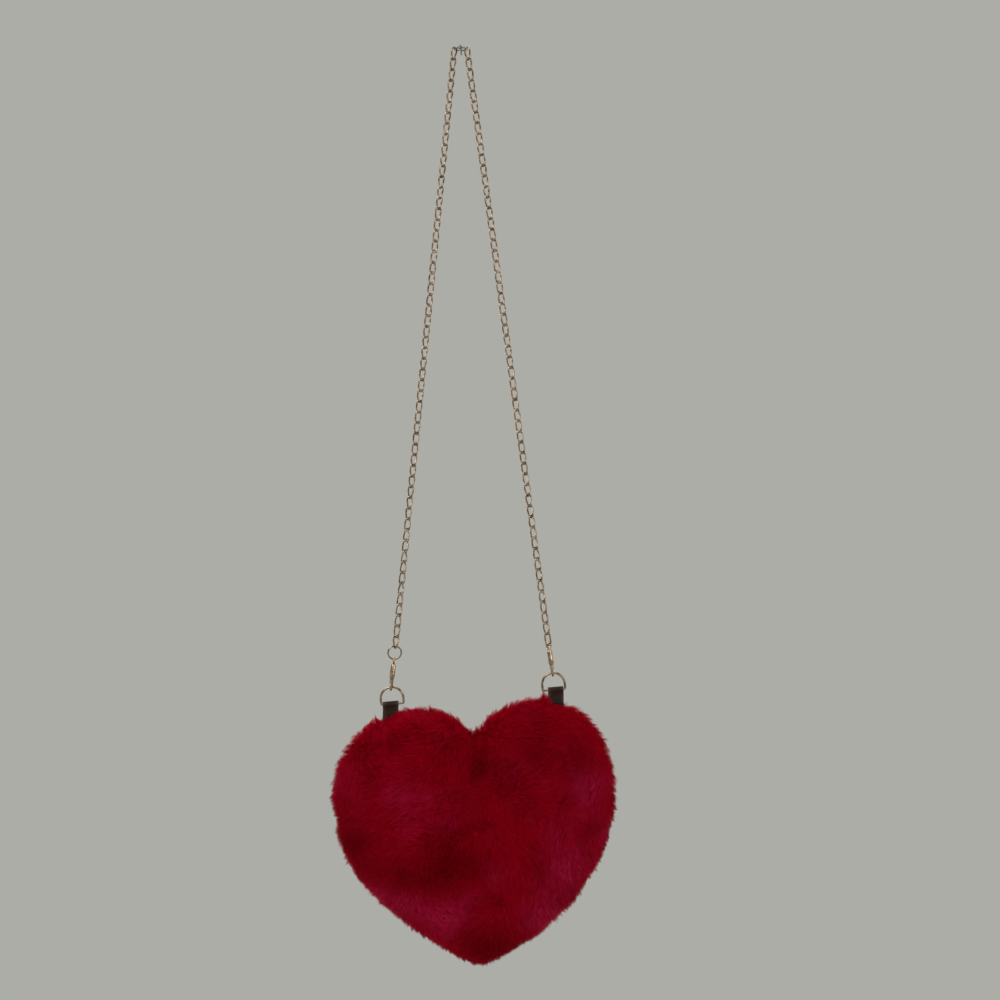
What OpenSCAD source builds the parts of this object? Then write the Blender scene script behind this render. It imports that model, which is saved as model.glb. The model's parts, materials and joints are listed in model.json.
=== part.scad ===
// Heart shaped faux-fur purse hung from a peg by its chain strap.
// Origin where the peg carries the top link of the chain, +Z up, +X to the right
// of the purse seen from its front, front towards -Y. All sizes in millimetres.

/* [Chain strap] */
// Wire of a chain link
link_wire = 1.3; // [1.2:0.05:1.4]
// Outer width of a chain link
link_width = 5.9; // [5.7:0.1:6.5]
// Length that one link adds to the chain
link_pitch = 10.1; // [9:0.1:12]
// Links in each of the four lengths of one side
links_per_length = 14; // [8:2:16]
// Distance between the two D-rings
ring_spacing = 152; // [130:1:180]

/* [Jump ring] */
// Outer diameter of the jump ring
jump_d = 13.8; // [12.6:0.1:15]
// Wire of the jump ring
jump_wire = 1.5; // [1.2:0.1:1.7]
// Turn of the jump ring away from face-on
jump_turn = 10; // [0:1:15]

/* [Snap hooks] */
// Length from the eye's seat to the hook's seat
hook_length = 28.5; // [27:0.5:34]
// Diameter of the hook's barrel
barrel_d = 4.8; // [4.6:0.1:5.2]
// Wire of the swivel eye
eye_wire = 1.4; // [1.2:0.1:1.5]
// Outer width of the swivel eye
eye_width = 5.6; // [5.4:0.1:6.2]
// Diameter of the hook's round bar
hook_bar = 2.2; // [2:0.1:2.3]
// Radius of the hook's bend at the middle of its bar
hook_bend = 3.2; // [3.1:0.05:3.5]
// Diameter of the gate's pin
pin_d = 1.2; // [1:0.05:1.3]

/* [D-rings and tabs] */
// Wire of a D-ring
dring_wire = 2.2; // [2:0.1:2.3]
// Outer width of a D-ring
dring_width = 23.5; // [21:0.5:26]
// Height of a D-ring between the middles of its bar and its arc
dring_height = 15.8; // [14:0.1:18]
// Width of a leather tab
tab_width = 14.6; // [12:0.2:16]
// Thickness of the tab's leather
tab_leather = 1.2; // [1:0.1:1.5]
// Length of a tab below the D-ring's bar
tab_length = 18; // [16:0.5:19]

/* [Heart] */
// Width of the heart over its pile
heart_width = 262; // [250:1:280]
// Height of the heart from its cleft to its tip
heart_height = 218; // [205:1:235]
// Depth of the front half over its pile
front_depth = 34; // [31:1:38]
// Depth of the back half over its pile
back_depth = 27; // [26:0.5:30]
// Drop of the cleft below the middle of the D-ring bars
cleft_drop = 33; // [31:1:38]
// Thickness of the fur cloth with its pile pressed down
fur_thickness = 6; // [5:0.5:6.5]
// Thickness of the foam padding
padding_thickness = 4.6; // [3:0.2:5]
// Thickness of the lining cloth
lining_thickness = 0.8; // [0.6:0.1:1]

/* [Zip] */
// Length of the zip's rows of teeth
zip_length = 130; // [110:1:140]
// Height of the slot that the zip closes
zip_slot = 20.6; // [19:0.2:24]
// Height of the zip over the middle of the heart
zip_rise = 38; // [34:1:42]
// Thickness of the zip tape
tape_thickness = 0.8; // [0.6:0.1:1]
// Pitch of the zip's teeth
tooth_pitch = 2.6; // [2:0.1:3]
// Length of the zip slider
slider_length = 9; // [8:0.5:11]
// Length of the zip puller
pull_length = 21; // [17:1:24]

/* [Hidden] */

metal_colour = [0.72, 0.6, 0.45];
leather_colour = [0.17, 0.13, 0.11];
fur_colour = [0.45, 0.02, 0.08];
foam_colour = [0.85, 0.83, 0.78];
lining_colour = [0.3, 0.03, 0.06];
tape_colour = [0.25, 0.02, 0.05];

// Rounding of the curved surfaces
wire_faces = 20;
bend_faces = 32;

// Fits
link_gap = 0.3;
soft_gap = 0.35;
pin_gap = 0.05;
swivel_gap = 0.08;
bar_gap = 0.3;
overrun = 1;

// Chain
link_bend = (link_width - link_wire) / 2;
link_straight = (link_pitch + link_gap) / 2 - link_bend + link_wire / 2;
links_per_side = 4 * links_per_length;
chain_length = links_per_side * link_pitch;

// Strands: both leave the top link at the same angle
top_x = (link_pitch + link_gap + link_wire) / 2;
top_z = link_wire + link_gap / 2;
jump_bend = (jump_d - jump_wire) / 2;
jump_pitch = 2 * jump_bend - jump_wire - link_gap;
right_strand = chain_length + hook_length;
left_strand = right_strand + jump_pitch;
strand_angle = asin((ring_spacing - 2 * top_x) / (left_strand + right_strand));

// Swivel eye and its stem
eye_bend = (eye_width - eye_wire) / 2;
eye_top = (eye_wire + link_gap) / 2;
eye_z = eye_top - eye_bend;
eye_bottom = eye_z - eye_bend - eye_wire / 2;
collar_t = 0.8;
collar_d = 0.75 * barrel_d;
barrel_top = eye_bottom - collar_t - 2 * soft_gap;
stem_d = 0.42 * barrel_d;
stem_head_d = 0.64 * barrel_d;
stem_head_t = 0.25 * barrel_d;
barrel_lip = 0.3 * barrel_d;
stem_depth = 2 * barrel_lip;

// Snap hook, measured down from the eye's seat
bend_z = -hook_length - link_gap / 2 - hook_bar / 2 + hook_bend;
barrel_length = 1.9 * barrel_d;
barrel_bottom = barrel_top - barrel_length;
barrel_rim_d = 0.84 * barrel_d;
barrel_rim_t = 0.4;
barrel_shoulder = 1.2;
hook_front = -hook_bend - hook_bar / 2;
spine_d = 3.2;
cheek_t = 0.2 * barrel_d;
block_w = barrel_d - 2 * cheek_t - 2 * soft_gap;
block_d = 3.2;
cheek_r = (block_d - soft_gap) / 2;
pin_z = barrel_bottom - soft_gap - cheek_r;
pin_y = -0.1 * barrel_d;
gate_skin = 1.1;
gate_y = hook_front + gate_skin;
gate_tip_d = 0.7 * barrel_d;
nose_rise = 2.2;
gate_gap = 0.9;
gate_end = bend_z + nose_rise + gate_gap;
spring_outer = 2.1;
spring_length = 1.1;

// D-rings: their bars lie on one line, which leans with the longer left side
function strand_point(side, length) = [
    side * (top_x + length * sin(strand_angle)), 0, top_z - length * cos(strand_angle)
];
left_seat = strand_point(-1, left_strand);
right_seat = strand_point(1, right_strand);
lean = atan2(right_seat[2] - left_seat[2], right_seat[0] - left_seat[0]);
dring_bend = (dring_width - dring_wire) / 2;
dring_corner = 0.73 * dring_wire;
dring_straight = dring_bend - dring_corner;
// Each tab is pushed outward along its bar, up to the D-ring's corner
tab_play = 0.15;
tab_shift = max(dring_straight - tab_width / 2 - tab_play, 0);
tab_meet = 5.6;
bar_drop = dring_height - (dring_wire + link_gap) / 2;
function below_seat(seat, drop) = seat + drop * [sin(lean), 0, -cos(lean)];
left_bar = below_seat(left_seat, bar_drop);
right_bar = below_seat(right_seat, bar_drop);

// Heart: cleft below the bars, outline about a middle point
cleft_z = (left_bar[2] + right_bar[2]) / 2 - cleft_drop;
middle_drop = 0.385 * heart_height;
right_shares = [
    [0, 0], [0.055, 0.024], [0.13, 0.062], [0.22, 0.092], [0.34, 0.112], [0.48, 0.115],
    [0.61, 0.1], [0.72, 0.068], [0.81, 0.024], [0.89, -0.035], [0.95, -0.11], [0.987, -0.2],
    [1, -0.3], [0.99, -0.395], [0.955, -0.485], [0.895, -0.57], [0.81, -0.65], [0.7, -0.73],
    [0.565, -0.81], [0.42, -0.885], [0.27, -0.945], [0.13, -0.984], [0, -1]
];
left_shares = [
    [0, 0], [0.055, 0.024], [0.13, 0.062], [0.22, 0.092], [0.34, 0.112], [0.48, 0.115],
    [0.62, 0.101], [0.745, 0.069], [0.85, 0.022], [0.93, -0.042], [0.98, -0.12], [1, -0.205],
    [1, -0.3], [0.985, -0.395], [0.95, -0.485], [0.89, -0.57], [0.805, -0.65], [0.69, -0.73],
    [0.55, -0.807], [0.4, -0.878], [0.25, -0.938], [0.115, -0.98], [0, -1]
];
half_points = len(right_shares);
lifted_share = 0.5;
// The tabs pull the right lobe up and let the left one down, less and less towards the waist
function outline_point(share, side) =
    let (x = side * share[0] * heart_width / 2, lift = max(share[1] / lifted_share + 1, 0))
    [x, share[1] * heart_height + middle_drop + x * tan(lean) * min(lift, 1)];
heart_outline = concat(
    [for (i = [0 : half_points - 1]) outline_point(right_shares[i], 1)],
    [for (i = [half_points - 2 : -1 : 1]) outline_point(left_shares[i], -1)]
);
outline_count = len(heart_outline);
least_slant = 0.6;
front_roundness = 2.6;
back_roundness = 4;
dome_rings = 7;

// Layers, each as its distance in from the pile at the sides and at the top of the dome
layer_gap = 0.6;
padding_side = fur_thickness + layer_gap;
padding_top = fur_thickness + soft_gap;
lining_side = padding_side + padding_thickness + layer_gap;
lining_top = padding_top + padding_thickness + soft_gap;
seam_half = 2.2;
seam_side = fur_thickness + 1.6;
seam_depth = 0.7;

// Zip
zip_sink = 8.6;
zip_y = back_depth - zip_sink;
lip_gap = 0.8;
lip_reach = zip_slot / 2 - soft_gap;
park_length = slider_length + 2 * soft_gap;
stop_length = 1.6;
slot_length = zip_length + 2 * (park_length + stop_length + 2 * soft_gap);
tooth_height = 2;
tooth_depth = 1.3;
tooth_share = 0.55;
tooth_row = 1;
slider_width = 7.4;
plate_t = 0.8;
plate_gap = tooth_height + 2 * bar_gap;
bridge_rise = 3;
bridge_bar = 1;
pull_t = 0.9;
pull_width = 5.4;
pull_neck = 2.6;
pull_tilt = 27;

module wire_ring(bend, wire) {
    rotate_extrude($fn = 2 * bend_faces)
        translate([bend, 0]) circle(d = wire, $fn = wire_faces);
}

// Half ring over the Y axis' plane, legs down at x = -bend and x = bend
module half_ring(bend, wire) {
    rotate([90, 0, 0]) rotate_extrude(angle = 180, $fn = bend_faces)
        translate([bend, 0]) circle(d = wire, $fn = wire_faces);
}

// One oval link, long along Z, flat in the XZ plane
module oval_link() {
    for (turned = [0, 180])
        rotate([0, turned, 0]) translate([0, 0, link_straight]) half_ring(link_bend, link_wire);
    for (side = [-1, 1])
        translate([side * link_bend, 0, -link_straight])
            cylinder(d = link_wire, h = 2 * link_straight, $fn = wire_faces);
}

// Puts its children in a strand's frame, -Z running down the strand
module on_strand(side) {
    translate([side * top_x, 0, top_z]) rotate([0, -side * strand_angle, 0]) children();
}

module top_link() {
    color(metal_colour)
        translate([0, 0, link_wire / 2]) rotate([90, 0, 0]) rotate([0, 90, 0]) oval_link();
}

module chain_length_of(side, number) {
    color(metal_colour) on_strand(side)
        for (i = [(number - 1) * links_per_length : number * links_per_length - 1])
            translate([0, 0, -(i + 0.5) * link_pitch]) rotate([0, 0, 90 * i]) oval_link();
}

module jump_ring() {
    color(metal_colour) on_strand(-1)
        translate([0, 0, -chain_length + (jump_wire + link_gap) / 2 - jump_bend])
            rotate([0, 0, jump_turn]) rotate([90, 0, 0]) wire_ring(jump_bend, jump_wire);
}

// Puts its children in a hook's frame, with the eye's seat at its origin
module on_hook(side) {
    on_strand(side) translate([0, 0, -chain_length - (side < 0 ? jump_pitch : 0)]) children();
}

module swivel_eye(side) {
    turn = side < 0 ? 90 + jump_turn : 0;
    color(metal_colour) on_hook(side) {
        translate([0, 0, eye_z]) rotate([0, 0, turn]) rotate([90, 0, 0]) wire_ring(eye_bend, eye_wire);
        translate([0, 0, barrel_top - barrel_lip - stem_head_t])
            cylinder(d = stem_head_d, h = stem_head_t, $fn = bend_faces);
        translate([0, 0, barrel_top - barrel_lip - stem_head_t / 2])
            cylinder(
                d = stem_d,
                h = eye_z - eye_bend - barrel_top + barrel_lip + stem_head_t / 2,
                $fn = bend_faces
            );
        translate([0, 0, eye_bottom - soft_gap - collar_t])
            cylinder(d = collar_d, h = collar_t, $fn = bend_faces);
    }
}

module hook_block() {
    translate([-block_w / 2, pin_y - block_d / 2, pin_z - block_d / 2])
        cube([block_w, block_d, barrel_bottom - pin_z + block_d / 2 + barrel_lip]);
}

// Barrel that widens from its rim towards the gate in front and the spine behind
module hook_barrel() {
    hull() {
        translate([0, 0, barrel_top - barrel_rim_t])
            cylinder(d = barrel_rim_d, h = barrel_rim_t, $fn = bend_faces);
        translate([0, 0, barrel_top - barrel_shoulder - barrel_rim_t])
            cylinder(d = barrel_d, h = barrel_rim_t, $fn = bend_faces);
        translate([0, hook_front + barrel_d / 2, barrel_bottom])
            cylinder(d = barrel_d, h = barrel_rim_t, $fn = bend_faces);
        translate([0, -hook_front - spine_d / 2, barrel_bottom])
            cylinder(d = spine_d, h = barrel_rim_t, $fn = bend_faces);
    }
}

module hook_body(side) {
    head_room = stem_depth + stem_head_t;
    leg_top = barrel_bottom + barrel_lip;
    color(metal_colour) on_hook(side) difference() {
        union() {
            hook_barrel();
            hook_block();
            translate([0, hook_bend, bend_z])
                cylinder(d = hook_bar, h = leg_top - bend_z, $fn = wire_faces);
            translate([-hook_bar / 2, pin_y, pin_z - block_d / 2])
                cube([hook_bar, hook_bend - pin_y, barrel_bottom - pin_z + block_d / 2 + barrel_lip]);
            translate([0, 0, bend_z]) rotate([0, 180, 0]) rotate([0, 0, 90]) half_ring(hook_bend, hook_bar);
            translate([0, -hook_bend, bend_z]) cylinder(d = hook_bar, h = nose_rise, $fn = wire_faces);
        }
        translate([0, 0, barrel_top - barrel_lip])
            cylinder(d = stem_d + 2 * swivel_gap, h = barrel_lip + overrun, $fn = bend_faces);
        translate([0, 0, barrel_top - barrel_lip - head_room])
            cylinder(d = stem_head_d + 2 * swivel_gap, h = head_room + swivel_gap, $fn = bend_faces);
        translate([-barrel_d / 2 - overrun, pin_y, pin_z]) rotate([0, 90, 0])
            cylinder(d = pin_d + 2 * pin_gap, h = barrel_d + 2 * overrun, $fn = bend_faces);
        translate([-spring_length / 2 - soft_gap / 2, pin_y, pin_z]) rotate([0, 90, 0])
            cylinder(d = spring_outer + soft_gap, h = spring_length + soft_gap, $fn = bend_faces);
    }
}

// Rounded cover in line with the barrel, tapering to the hook's nose
module gate_cover() {
    gate_top = pin_z + cheek_r;
    difference() {
        hull() {
            translate([0, hook_front + barrel_d / 2, gate_top - barrel_rim_t])
                cylinder(d = barrel_d, h = barrel_rim_t, $fn = bend_faces);
            translate([0, hook_front + gate_tip_d / 2, gate_end])
                cylinder(d = gate_tip_d, h = barrel_rim_t, $fn = bend_faces);
        }
        translate([-barrel_d, gate_y, gate_end - overrun])
            cube([2 * barrel_d, barrel_d, gate_top - gate_end + 2 * overrun]);
    }
}

module hook_gate(side) {
    color(metal_colour) on_hook(side) difference() {
        union() {
            for (cheek = [-1, 1])
                translate([cheek * (barrel_d - cheek_t) / 2 - cheek_t / 2, pin_y, pin_z]) rotate([0, 90, 0])
                    cylinder(r = cheek_r, h = cheek_t, $fn = bend_faces);
            for (cheek = [-1, 1])
                translate([
                    cheek * (barrel_d - cheek_t) / 2 - cheek_t / 2,
                    gate_y - gate_skin / 2,
                    pin_z - cheek_r
                ])
                    cube([cheek_t, pin_y - gate_y + gate_skin / 2, 2 * cheek_r]);
            gate_cover();
        }
        translate([-barrel_d / 2 - overrun, pin_y, pin_z]) rotate([0, 90, 0])
            cylinder(d = pin_d + 2 * pin_gap, h = barrel_d + 2 * overrun, $fn = bend_faces);
    }
}

module gate_pin(side) {
    color(metal_colour) on_hook(side)
        translate([-barrel_d / 2, pin_y, pin_z]) rotate([0, 90, 0])
            cylinder(d = pin_d, h = barrel_d, $fn = bend_faces);
}

module gate_spring(side) {
    color(metal_colour) on_hook(side)
        translate([-spring_length / 2, pin_y, pin_z]) rotate([0, 90, 0]) difference() {
            cylinder(d = spring_outer, h = spring_length, $fn = bend_faces);
            translate([0, 0, -overrun])
                cylinder(d = pin_d + 2 * pin_gap, h = spring_length + 2 * overrun, $fn = bend_faces);
        }
}

// Puts its children at a D-ring's bar, X along the bar
module at_bar(side) {
    translate(side < 0 ? left_bar : right_bar) rotate([0, -lean, 0]) children();
}

module d_ring(side) {
    shoulder = dring_height - dring_bend;
    color(metal_colour) at_bar(side) {
        translate([0, 0, shoulder]) half_ring(dring_bend, dring_wire);
        for (end = [0, 180]) rotate([0, 0, end]) {
            translate([dring_bend, 0, dring_corner])
                cylinder(d = dring_wire, h = shoulder - dring_corner, $fn = wire_faces);
            translate([dring_straight, 0, dring_corner]) rotate([-90, 0, 0])
                rotate_extrude(angle = 90, $fn = bend_faces)
                    translate([dring_corner, 0]) circle(d = dring_wire, $fn = wire_faces);
        }
        translate([-dring_straight, 0, 0]) rotate([0, 90, 0])
            cylinder(d = dring_wire, h = 2 * dring_straight, $fn = wire_faces);
    }
}

module tab(side) {
    bore = dring_wire / 2 + bar_gap;
    color(leather_colour) at_bar(side)
        translate([side * tab_shift - tab_width / 2, 0, 0])
            rotate([90, 0, 90]) linear_extrude(height = tab_width)
            difference() {
                union() {
                    hull() {
                        circle(r = bore + tab_leather, $fn = bend_faces);
                        translate([-tab_leather, -tab_meet]) square([2 * tab_leather, tab_leather]);
                    }
                    translate([-tab_leather, -tab_length]) square([2 * tab_leather, tab_length]);
                }
                circle(r = bore, $fn = bend_faces);
            }
}

// Room for the tabs in the seam of the heart
module tab_pockets() {
    for (side = [-1, 1]) at_bar(side)
        translate([
            side * tab_shift - tab_width / 2 - soft_gap,
            -tab_leather - soft_gap,
            -tab_length - soft_gap
        ])
            cube([tab_width + 2 * soft_gap, 2 * (tab_leather + soft_gap), tab_length + 2 * soft_gap]);
}

// Outline drawn in by a distance, each point along its own ray to the middle
function drawn_in(distance) = [
    for (i = [0 : outline_count - 1])
        let (
            p = heart_outline[i],
            before = heart_outline[(i + outline_count - 1) % outline_count],
            after = heart_outline[(i + 1) % outline_count],
            along = (after - before) / norm(after - before),
            ray = p / norm(p),
            slant = max(abs(along[0] * ray[1] - along[1] * ray[0]), least_slant)
        )
        p - ray * distance / slant
];

function dome_share(angle, roundness) = sqrt(1 - pow(sin(angle), roundness));

// Points of one domed surface: its middle, then its rings out to the rim
function dome_points(outline, depth, roundness, facing) = concat(
    [[0, facing * depth, 0]],
    [
        for (ring = [1 : dome_rings], p = outline)
            let (angle = 90 * ring / dome_rings)
            [
                p[0] * sin(angle),
                facing * depth * (ring == dome_rings ? 0 : dome_share(angle, roundness)),
                p[1] * sin(angle)
            ]
    ]
);

function dome_faces(start, flip) = [
    for (i = [0 : outline_count - 1])
        let (next = (i + 1) % outline_count)
        each concat(
            [flip ? [start, start + 1 + next, start + 1 + i] : [start, start + 1 + i, start + 1 + next]],
            [
                for (ring = [0 : dome_rings - 2])
                    let (
                        a = start + 1 + ring * outline_count + i,
                        b = start + 1 + ring * outline_count + next,
                        c = a + outline_count,
                        d = b + outline_count
                    )
                    each flip ? [[a, b, d], [a, d, c]] : [[a, d, b], [a, c, d]]
            ]
        )
];

// One layer of one half of the heart, between two domed surfaces
module dome_layer(facing, depth, roundness, side_out, top_out, side_in, top_in) {
    surface_points = 1 + dome_rings * outline_count;
    outer = dome_points(drawn_in(side_out), depth - top_out, roundness, facing);
    inner = dome_points(drawn_in(side_in), depth - top_in, roundness, facing);
    flip = facing > 0;
    last = 1 + (dome_rings - 1) * outline_count;
    rim_faces = [
        for (i = [0 : outline_count - 1])
            let (
                next = (i + 1) % outline_count,
                a = last + i,
                b = last + next,
                c = surface_points + a,
                d = surface_points + b
            )
            each flip ? [[a, b, d], [a, d, c]] : [[a, d, b], [a, c, d]]
    ];
    polyhedron(
        points = concat(outer, inner),
        faces = concat(dome_faces(0, flip), dome_faces(surface_points, !flip), rim_faces)
    );
}

// Puts its children at the middle of the heart
module at_heart() {
    translate([0, 0, cleft_z - middle_drop]) children();
}

// Slot for the zip through the back of the heart, wider or longer by a margin
module zip_cut(margin) {
    translate([-slot_length / 2 - margin, seam_half + soft_gap, zip_rise - zip_slot / 2 - margin])
        cube([slot_length + 2 * margin, back_depth, zip_slot + 2 * margin]);
}

module front_panel() {
    color(fur_colour) difference() {
        at_heart() dome_layer(-1, front_depth, front_roundness, 0, 0, fur_thickness, fur_thickness);
        tab_pockets();
    }
}

module back_panel() {
    color(fur_colour) difference() {
        at_heart() dome_layer(1, back_depth, back_roundness, 0, 0, fur_thickness, fur_thickness);
        at_heart() zip_cut(0);
        tab_pockets();
    }
}

module seam_tape() {
    color(tape_colour) difference() {
        at_heart() rotate([90, 0, 0]) translate([0, 0, -seam_half]) linear_extrude(height = 2 * seam_half)
            difference() {
                polygon(drawn_in(seam_side));
                polygon(drawn_in(seam_side + seam_depth));
            }
        tab_pockets();
    }
}

// The padding stops short of the seam, which keeps its tape and the tabs clear
module padding_layer(facing, depth, roundness) {
    seam_room = seam_half + soft_gap;
    difference() {
        dome_layer(
            facing, depth, roundness,
            padding_side, padding_top, padding_side + padding_thickness, padding_top + padding_thickness
        );
        translate([-heart_width / 2, -seam_room, -heart_height])
            cube([heart_width, 2 * seam_room, 2 * heart_height]);
    }
}

module front_padding() {
    color(foam_colour) at_heart() padding_layer(-1, front_depth, front_roundness);
}

module back_padding() {
    color(foam_colour) at_heart() difference() {
        padding_layer(1, back_depth, back_roundness);
        zip_cut(2 * soft_gap);
    }
}

module lining_layer(facing, depth, roundness) {
    dome_layer(
        facing, depth, roundness,
        lining_side, lining_top, lining_side + lining_thickness, lining_top + lining_thickness
    );
}

module front_lining() {
    color(lining_colour) at_heart() lining_layer(-1, front_depth, front_roundness);
}

module back_lining() {
    color(lining_colour) at_heart() difference() {
        lining_layer(1, back_depth, back_roundness);
        zip_cut(0);
    }
}

// Puts its children on the zip, X along it, Z up from its middle, Y = 0 at the tape's outer face
module at_zip() {
    at_heart() translate([0, zip_y, zip_rise]) children();
}

// One piece of tape from the middle gap to its sewn edge, above or below
module tape_piece(up, from, to) {
    low = up > 0 ? lip_gap : -lip_reach;
    translate([from, -tape_thickness, low])
        cube([to - from, tape_thickness, lip_reach - lip_gap]);
}

module zip_tape(up) {
    color(tape_colour) at_zip() difference() {
        tape_piece(up, -zip_length / 2, zip_length / 2);
        teeth_block(up);
    }
}

// The block that the row of teeth takes up on the tape's edge
module teeth_block(up) {
    low = up > 0 ? lip_gap - overrun : -lip_gap - tooth_row - tooth_depth;
    translate([-zip_length / 2 - overrun, -tape_thickness / 2 - tooth_height / 2, low])
        cube([zip_length + 2 * overrun, tooth_height, tooth_row + tooth_depth + overrun]);
}

module zip_teeth(up) {
    count = floor(zip_length / tooth_pitch);
    first = -count * tooth_pitch / 2 + (up > 0 ? 0 : tooth_pitch / 2);
    last_row = up > 0 ? count - 1 : count - 2;
    root = lip_gap + tooth_depth;
    comb = concat(
        [[-zip_length / 2, root + tooth_row], [-zip_length / 2, root]],
        [
            for (i = [0 : last_row])
                let (x = first + i * tooth_pitch, wide = tooth_share * tooth_pitch)
                each [[x, root], [x, lip_gap], [x + wide, lip_gap], [x + wide, root]]
        ],
        [[zip_length / 2, root], [zip_length / 2, root + tooth_row]]
    );
    color(metal_colour) at_zip()
        translate([0, -tape_thickness / 2 - tooth_height / 2, 0]) mirror([0, 0, up > 0 ? 0 : 1])
            rotate([90, 0, 0]) mirror([0, 0, 1]) linear_extrude(height = tooth_height)
                polygon(comb);
}

module zip_tape_ends() {
    near = zip_length / 2 + soft_gap;
    far = slot_length / 2 - soft_gap;
    color(tape_colour) at_zip() for (up = [-1, 1]) {
        tape_piece(up, near, far);
        tape_piece(up, -far, -near);
    }
}

module zip_stops() {
    far = zip_length / 2 + park_length + soft_gap;
    color(metal_colour) at_zip() for (end = [-1, 1], up = [-1, 1])
        translate([end > 0 ? far : -far - stop_length, 0, up > 0 ? lip_gap : -lip_gap - tooth_depth])
            cube([stop_length, tooth_height / 2, tooth_depth]);
}

slider_x = zip_length / 2 + 2 * soft_gap + slider_length / 2;
slider_mid = -tape_thickness / 2;
bridge_y = slider_mid + plate_gap / 2 + plate_t + bridge_rise;

module zip_slider() {
    web = 2 * (lip_gap - bar_gap);
    color(metal_colour) at_zip() translate([slider_x, slider_mid, 0]) {
        for (face = [-1, 1])
            translate([
                -slider_length / 2,
                face * (plate_gap + plate_t) / 2 - plate_t / 2,
                -slider_width / 2
            ])
                cube([slider_length, plate_t, slider_width]);
        translate([-slider_length / 2, -plate_gap / 2 - plate_t / 2, -web / 2])
            cube([slider_length, plate_gap + plate_t, web]);
        for (end = [-1, 1])
            translate([
                end * (slider_length / 2 - bridge_bar) - bridge_bar / 2,
                plate_gap / 2 + plate_t / 2,
                -bridge_bar / 2
            ])
                cube([bridge_bar, bridge_rise + plate_t / 2 + bridge_bar / 2, bridge_bar]);
        translate([-slider_length / 2 + bridge_bar / 2, plate_gap / 2 + plate_t + bridge_rise, 0])
            rotate([0, 90, 0])
            cylinder(d = bridge_bar, h = slider_length - bridge_bar, $fn = wire_faces);
    }
}

module zip_pull() {
    eye_r = bridge_bar / 2 + bar_gap;
    rim_r = eye_r + pull_t;
    color(metal_colour) at_zip() translate([slider_x, bridge_y, 0]) rotate([pull_tilt, 0, 0]) {
        translate([-pull_neck / 2, 0, 0]) rotate([0, 90, 0]) difference() {
            cylinder(r = rim_r, h = pull_neck, $fn = bend_faces);
            translate([0, 0, -overrun]) cylinder(r = eye_r, h = pull_neck + 2 * overrun, $fn = bend_faces);
        }
        translate([0, pull_t / 2, 0]) rotate([90, 0, 0]) linear_extrude(height = pull_t) difference() {
            union() {
                translate([-pull_neck / 2, -pull_length / 2]) square([pull_neck, pull_length / 2 - eye_r]);
                translate([-pull_width / 2, -pull_length + pull_width / 2])
                    square([pull_width, pull_length / 2]);
                translate([0, -pull_length + pull_width / 2]) circle(d = pull_width, $fn = bend_faces);
            }
            translate([0, -pull_length + pull_width / 2]) circle(d = pull_neck, $fn = bend_faces);
        }
    }
}

top_link();
chain_length_of(-1, 1);  // chain_left_1
chain_length_of(-1, 2);  // chain_left_2
chain_length_of(-1, 3);  // chain_left_3
chain_length_of(-1, 4);  // chain_left_4
chain_length_of(1, 1);  // chain_right_1
chain_length_of(1, 2);  // chain_right_2
chain_length_of(1, 3);  // chain_right_3
chain_length_of(1, 4);  // chain_right_4
jump_ring();
swivel_eye(-1);  // swivel_eye_left
swivel_eye(1);  // swivel_eye_right
hook_body(-1);  // hook_body_left
hook_body(1);  // hook_body_right
hook_gate(-1);  // hook_gate_left
hook_gate(1);  // hook_gate_right
gate_pin(-1);  // gate_pin_left
gate_pin(1);  // gate_pin_right
gate_spring(-1);  // gate_spring_left
gate_spring(1);  // gate_spring_right
d_ring(-1);  // d_ring_left
d_ring(1);  // d_ring_right
tab(-1);  // tab_left
tab(1);  // tab_right
front_panel();
back_panel();
seam_tape();
front_padding();
back_padding();
front_lining();
back_lining();
zip_tape(1);  // zip_tape_upper
zip_tape(-1);  // zip_tape_lower
zip_teeth(1);  // zip_teeth_upper
zip_teeth(-1);  // zip_teeth_lower
zip_tape_ends();
zip_stops();
zip_slider();
zip_pull();
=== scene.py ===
"""Looks of the heart purse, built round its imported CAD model."""

import json
import math

import bpy
import numpy as np
from bpy.props import FloatProperty, FloatVectorProperty, IntProperty, PointerProperty
from mathutils import Matrix, Vector, kdtree


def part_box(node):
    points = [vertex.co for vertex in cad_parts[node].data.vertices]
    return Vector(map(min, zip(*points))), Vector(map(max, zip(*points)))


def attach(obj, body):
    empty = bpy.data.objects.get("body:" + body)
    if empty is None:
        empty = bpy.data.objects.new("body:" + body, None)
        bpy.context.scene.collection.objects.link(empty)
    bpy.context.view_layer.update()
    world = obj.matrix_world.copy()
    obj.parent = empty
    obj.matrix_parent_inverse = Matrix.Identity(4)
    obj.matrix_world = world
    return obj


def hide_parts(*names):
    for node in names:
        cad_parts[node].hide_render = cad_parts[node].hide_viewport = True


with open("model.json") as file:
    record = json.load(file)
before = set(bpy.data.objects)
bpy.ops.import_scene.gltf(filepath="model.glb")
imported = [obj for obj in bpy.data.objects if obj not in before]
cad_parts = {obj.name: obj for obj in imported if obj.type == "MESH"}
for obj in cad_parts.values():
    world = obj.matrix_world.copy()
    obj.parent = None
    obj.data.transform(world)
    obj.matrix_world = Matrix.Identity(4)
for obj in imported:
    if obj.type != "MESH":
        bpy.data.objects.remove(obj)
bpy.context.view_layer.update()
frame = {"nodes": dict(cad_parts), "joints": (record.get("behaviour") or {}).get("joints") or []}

bl_info = {
    "name": "Heart Purse",
    "version": (1, 0, 0),
    "blender": (4, 5, 0),
    "location": "View3D > Sidebar > Purse",
    "description": "Dresses the heart purse: fur, leather, chain, zip and stage",
    "category": "Add Mesh",
}

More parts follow.
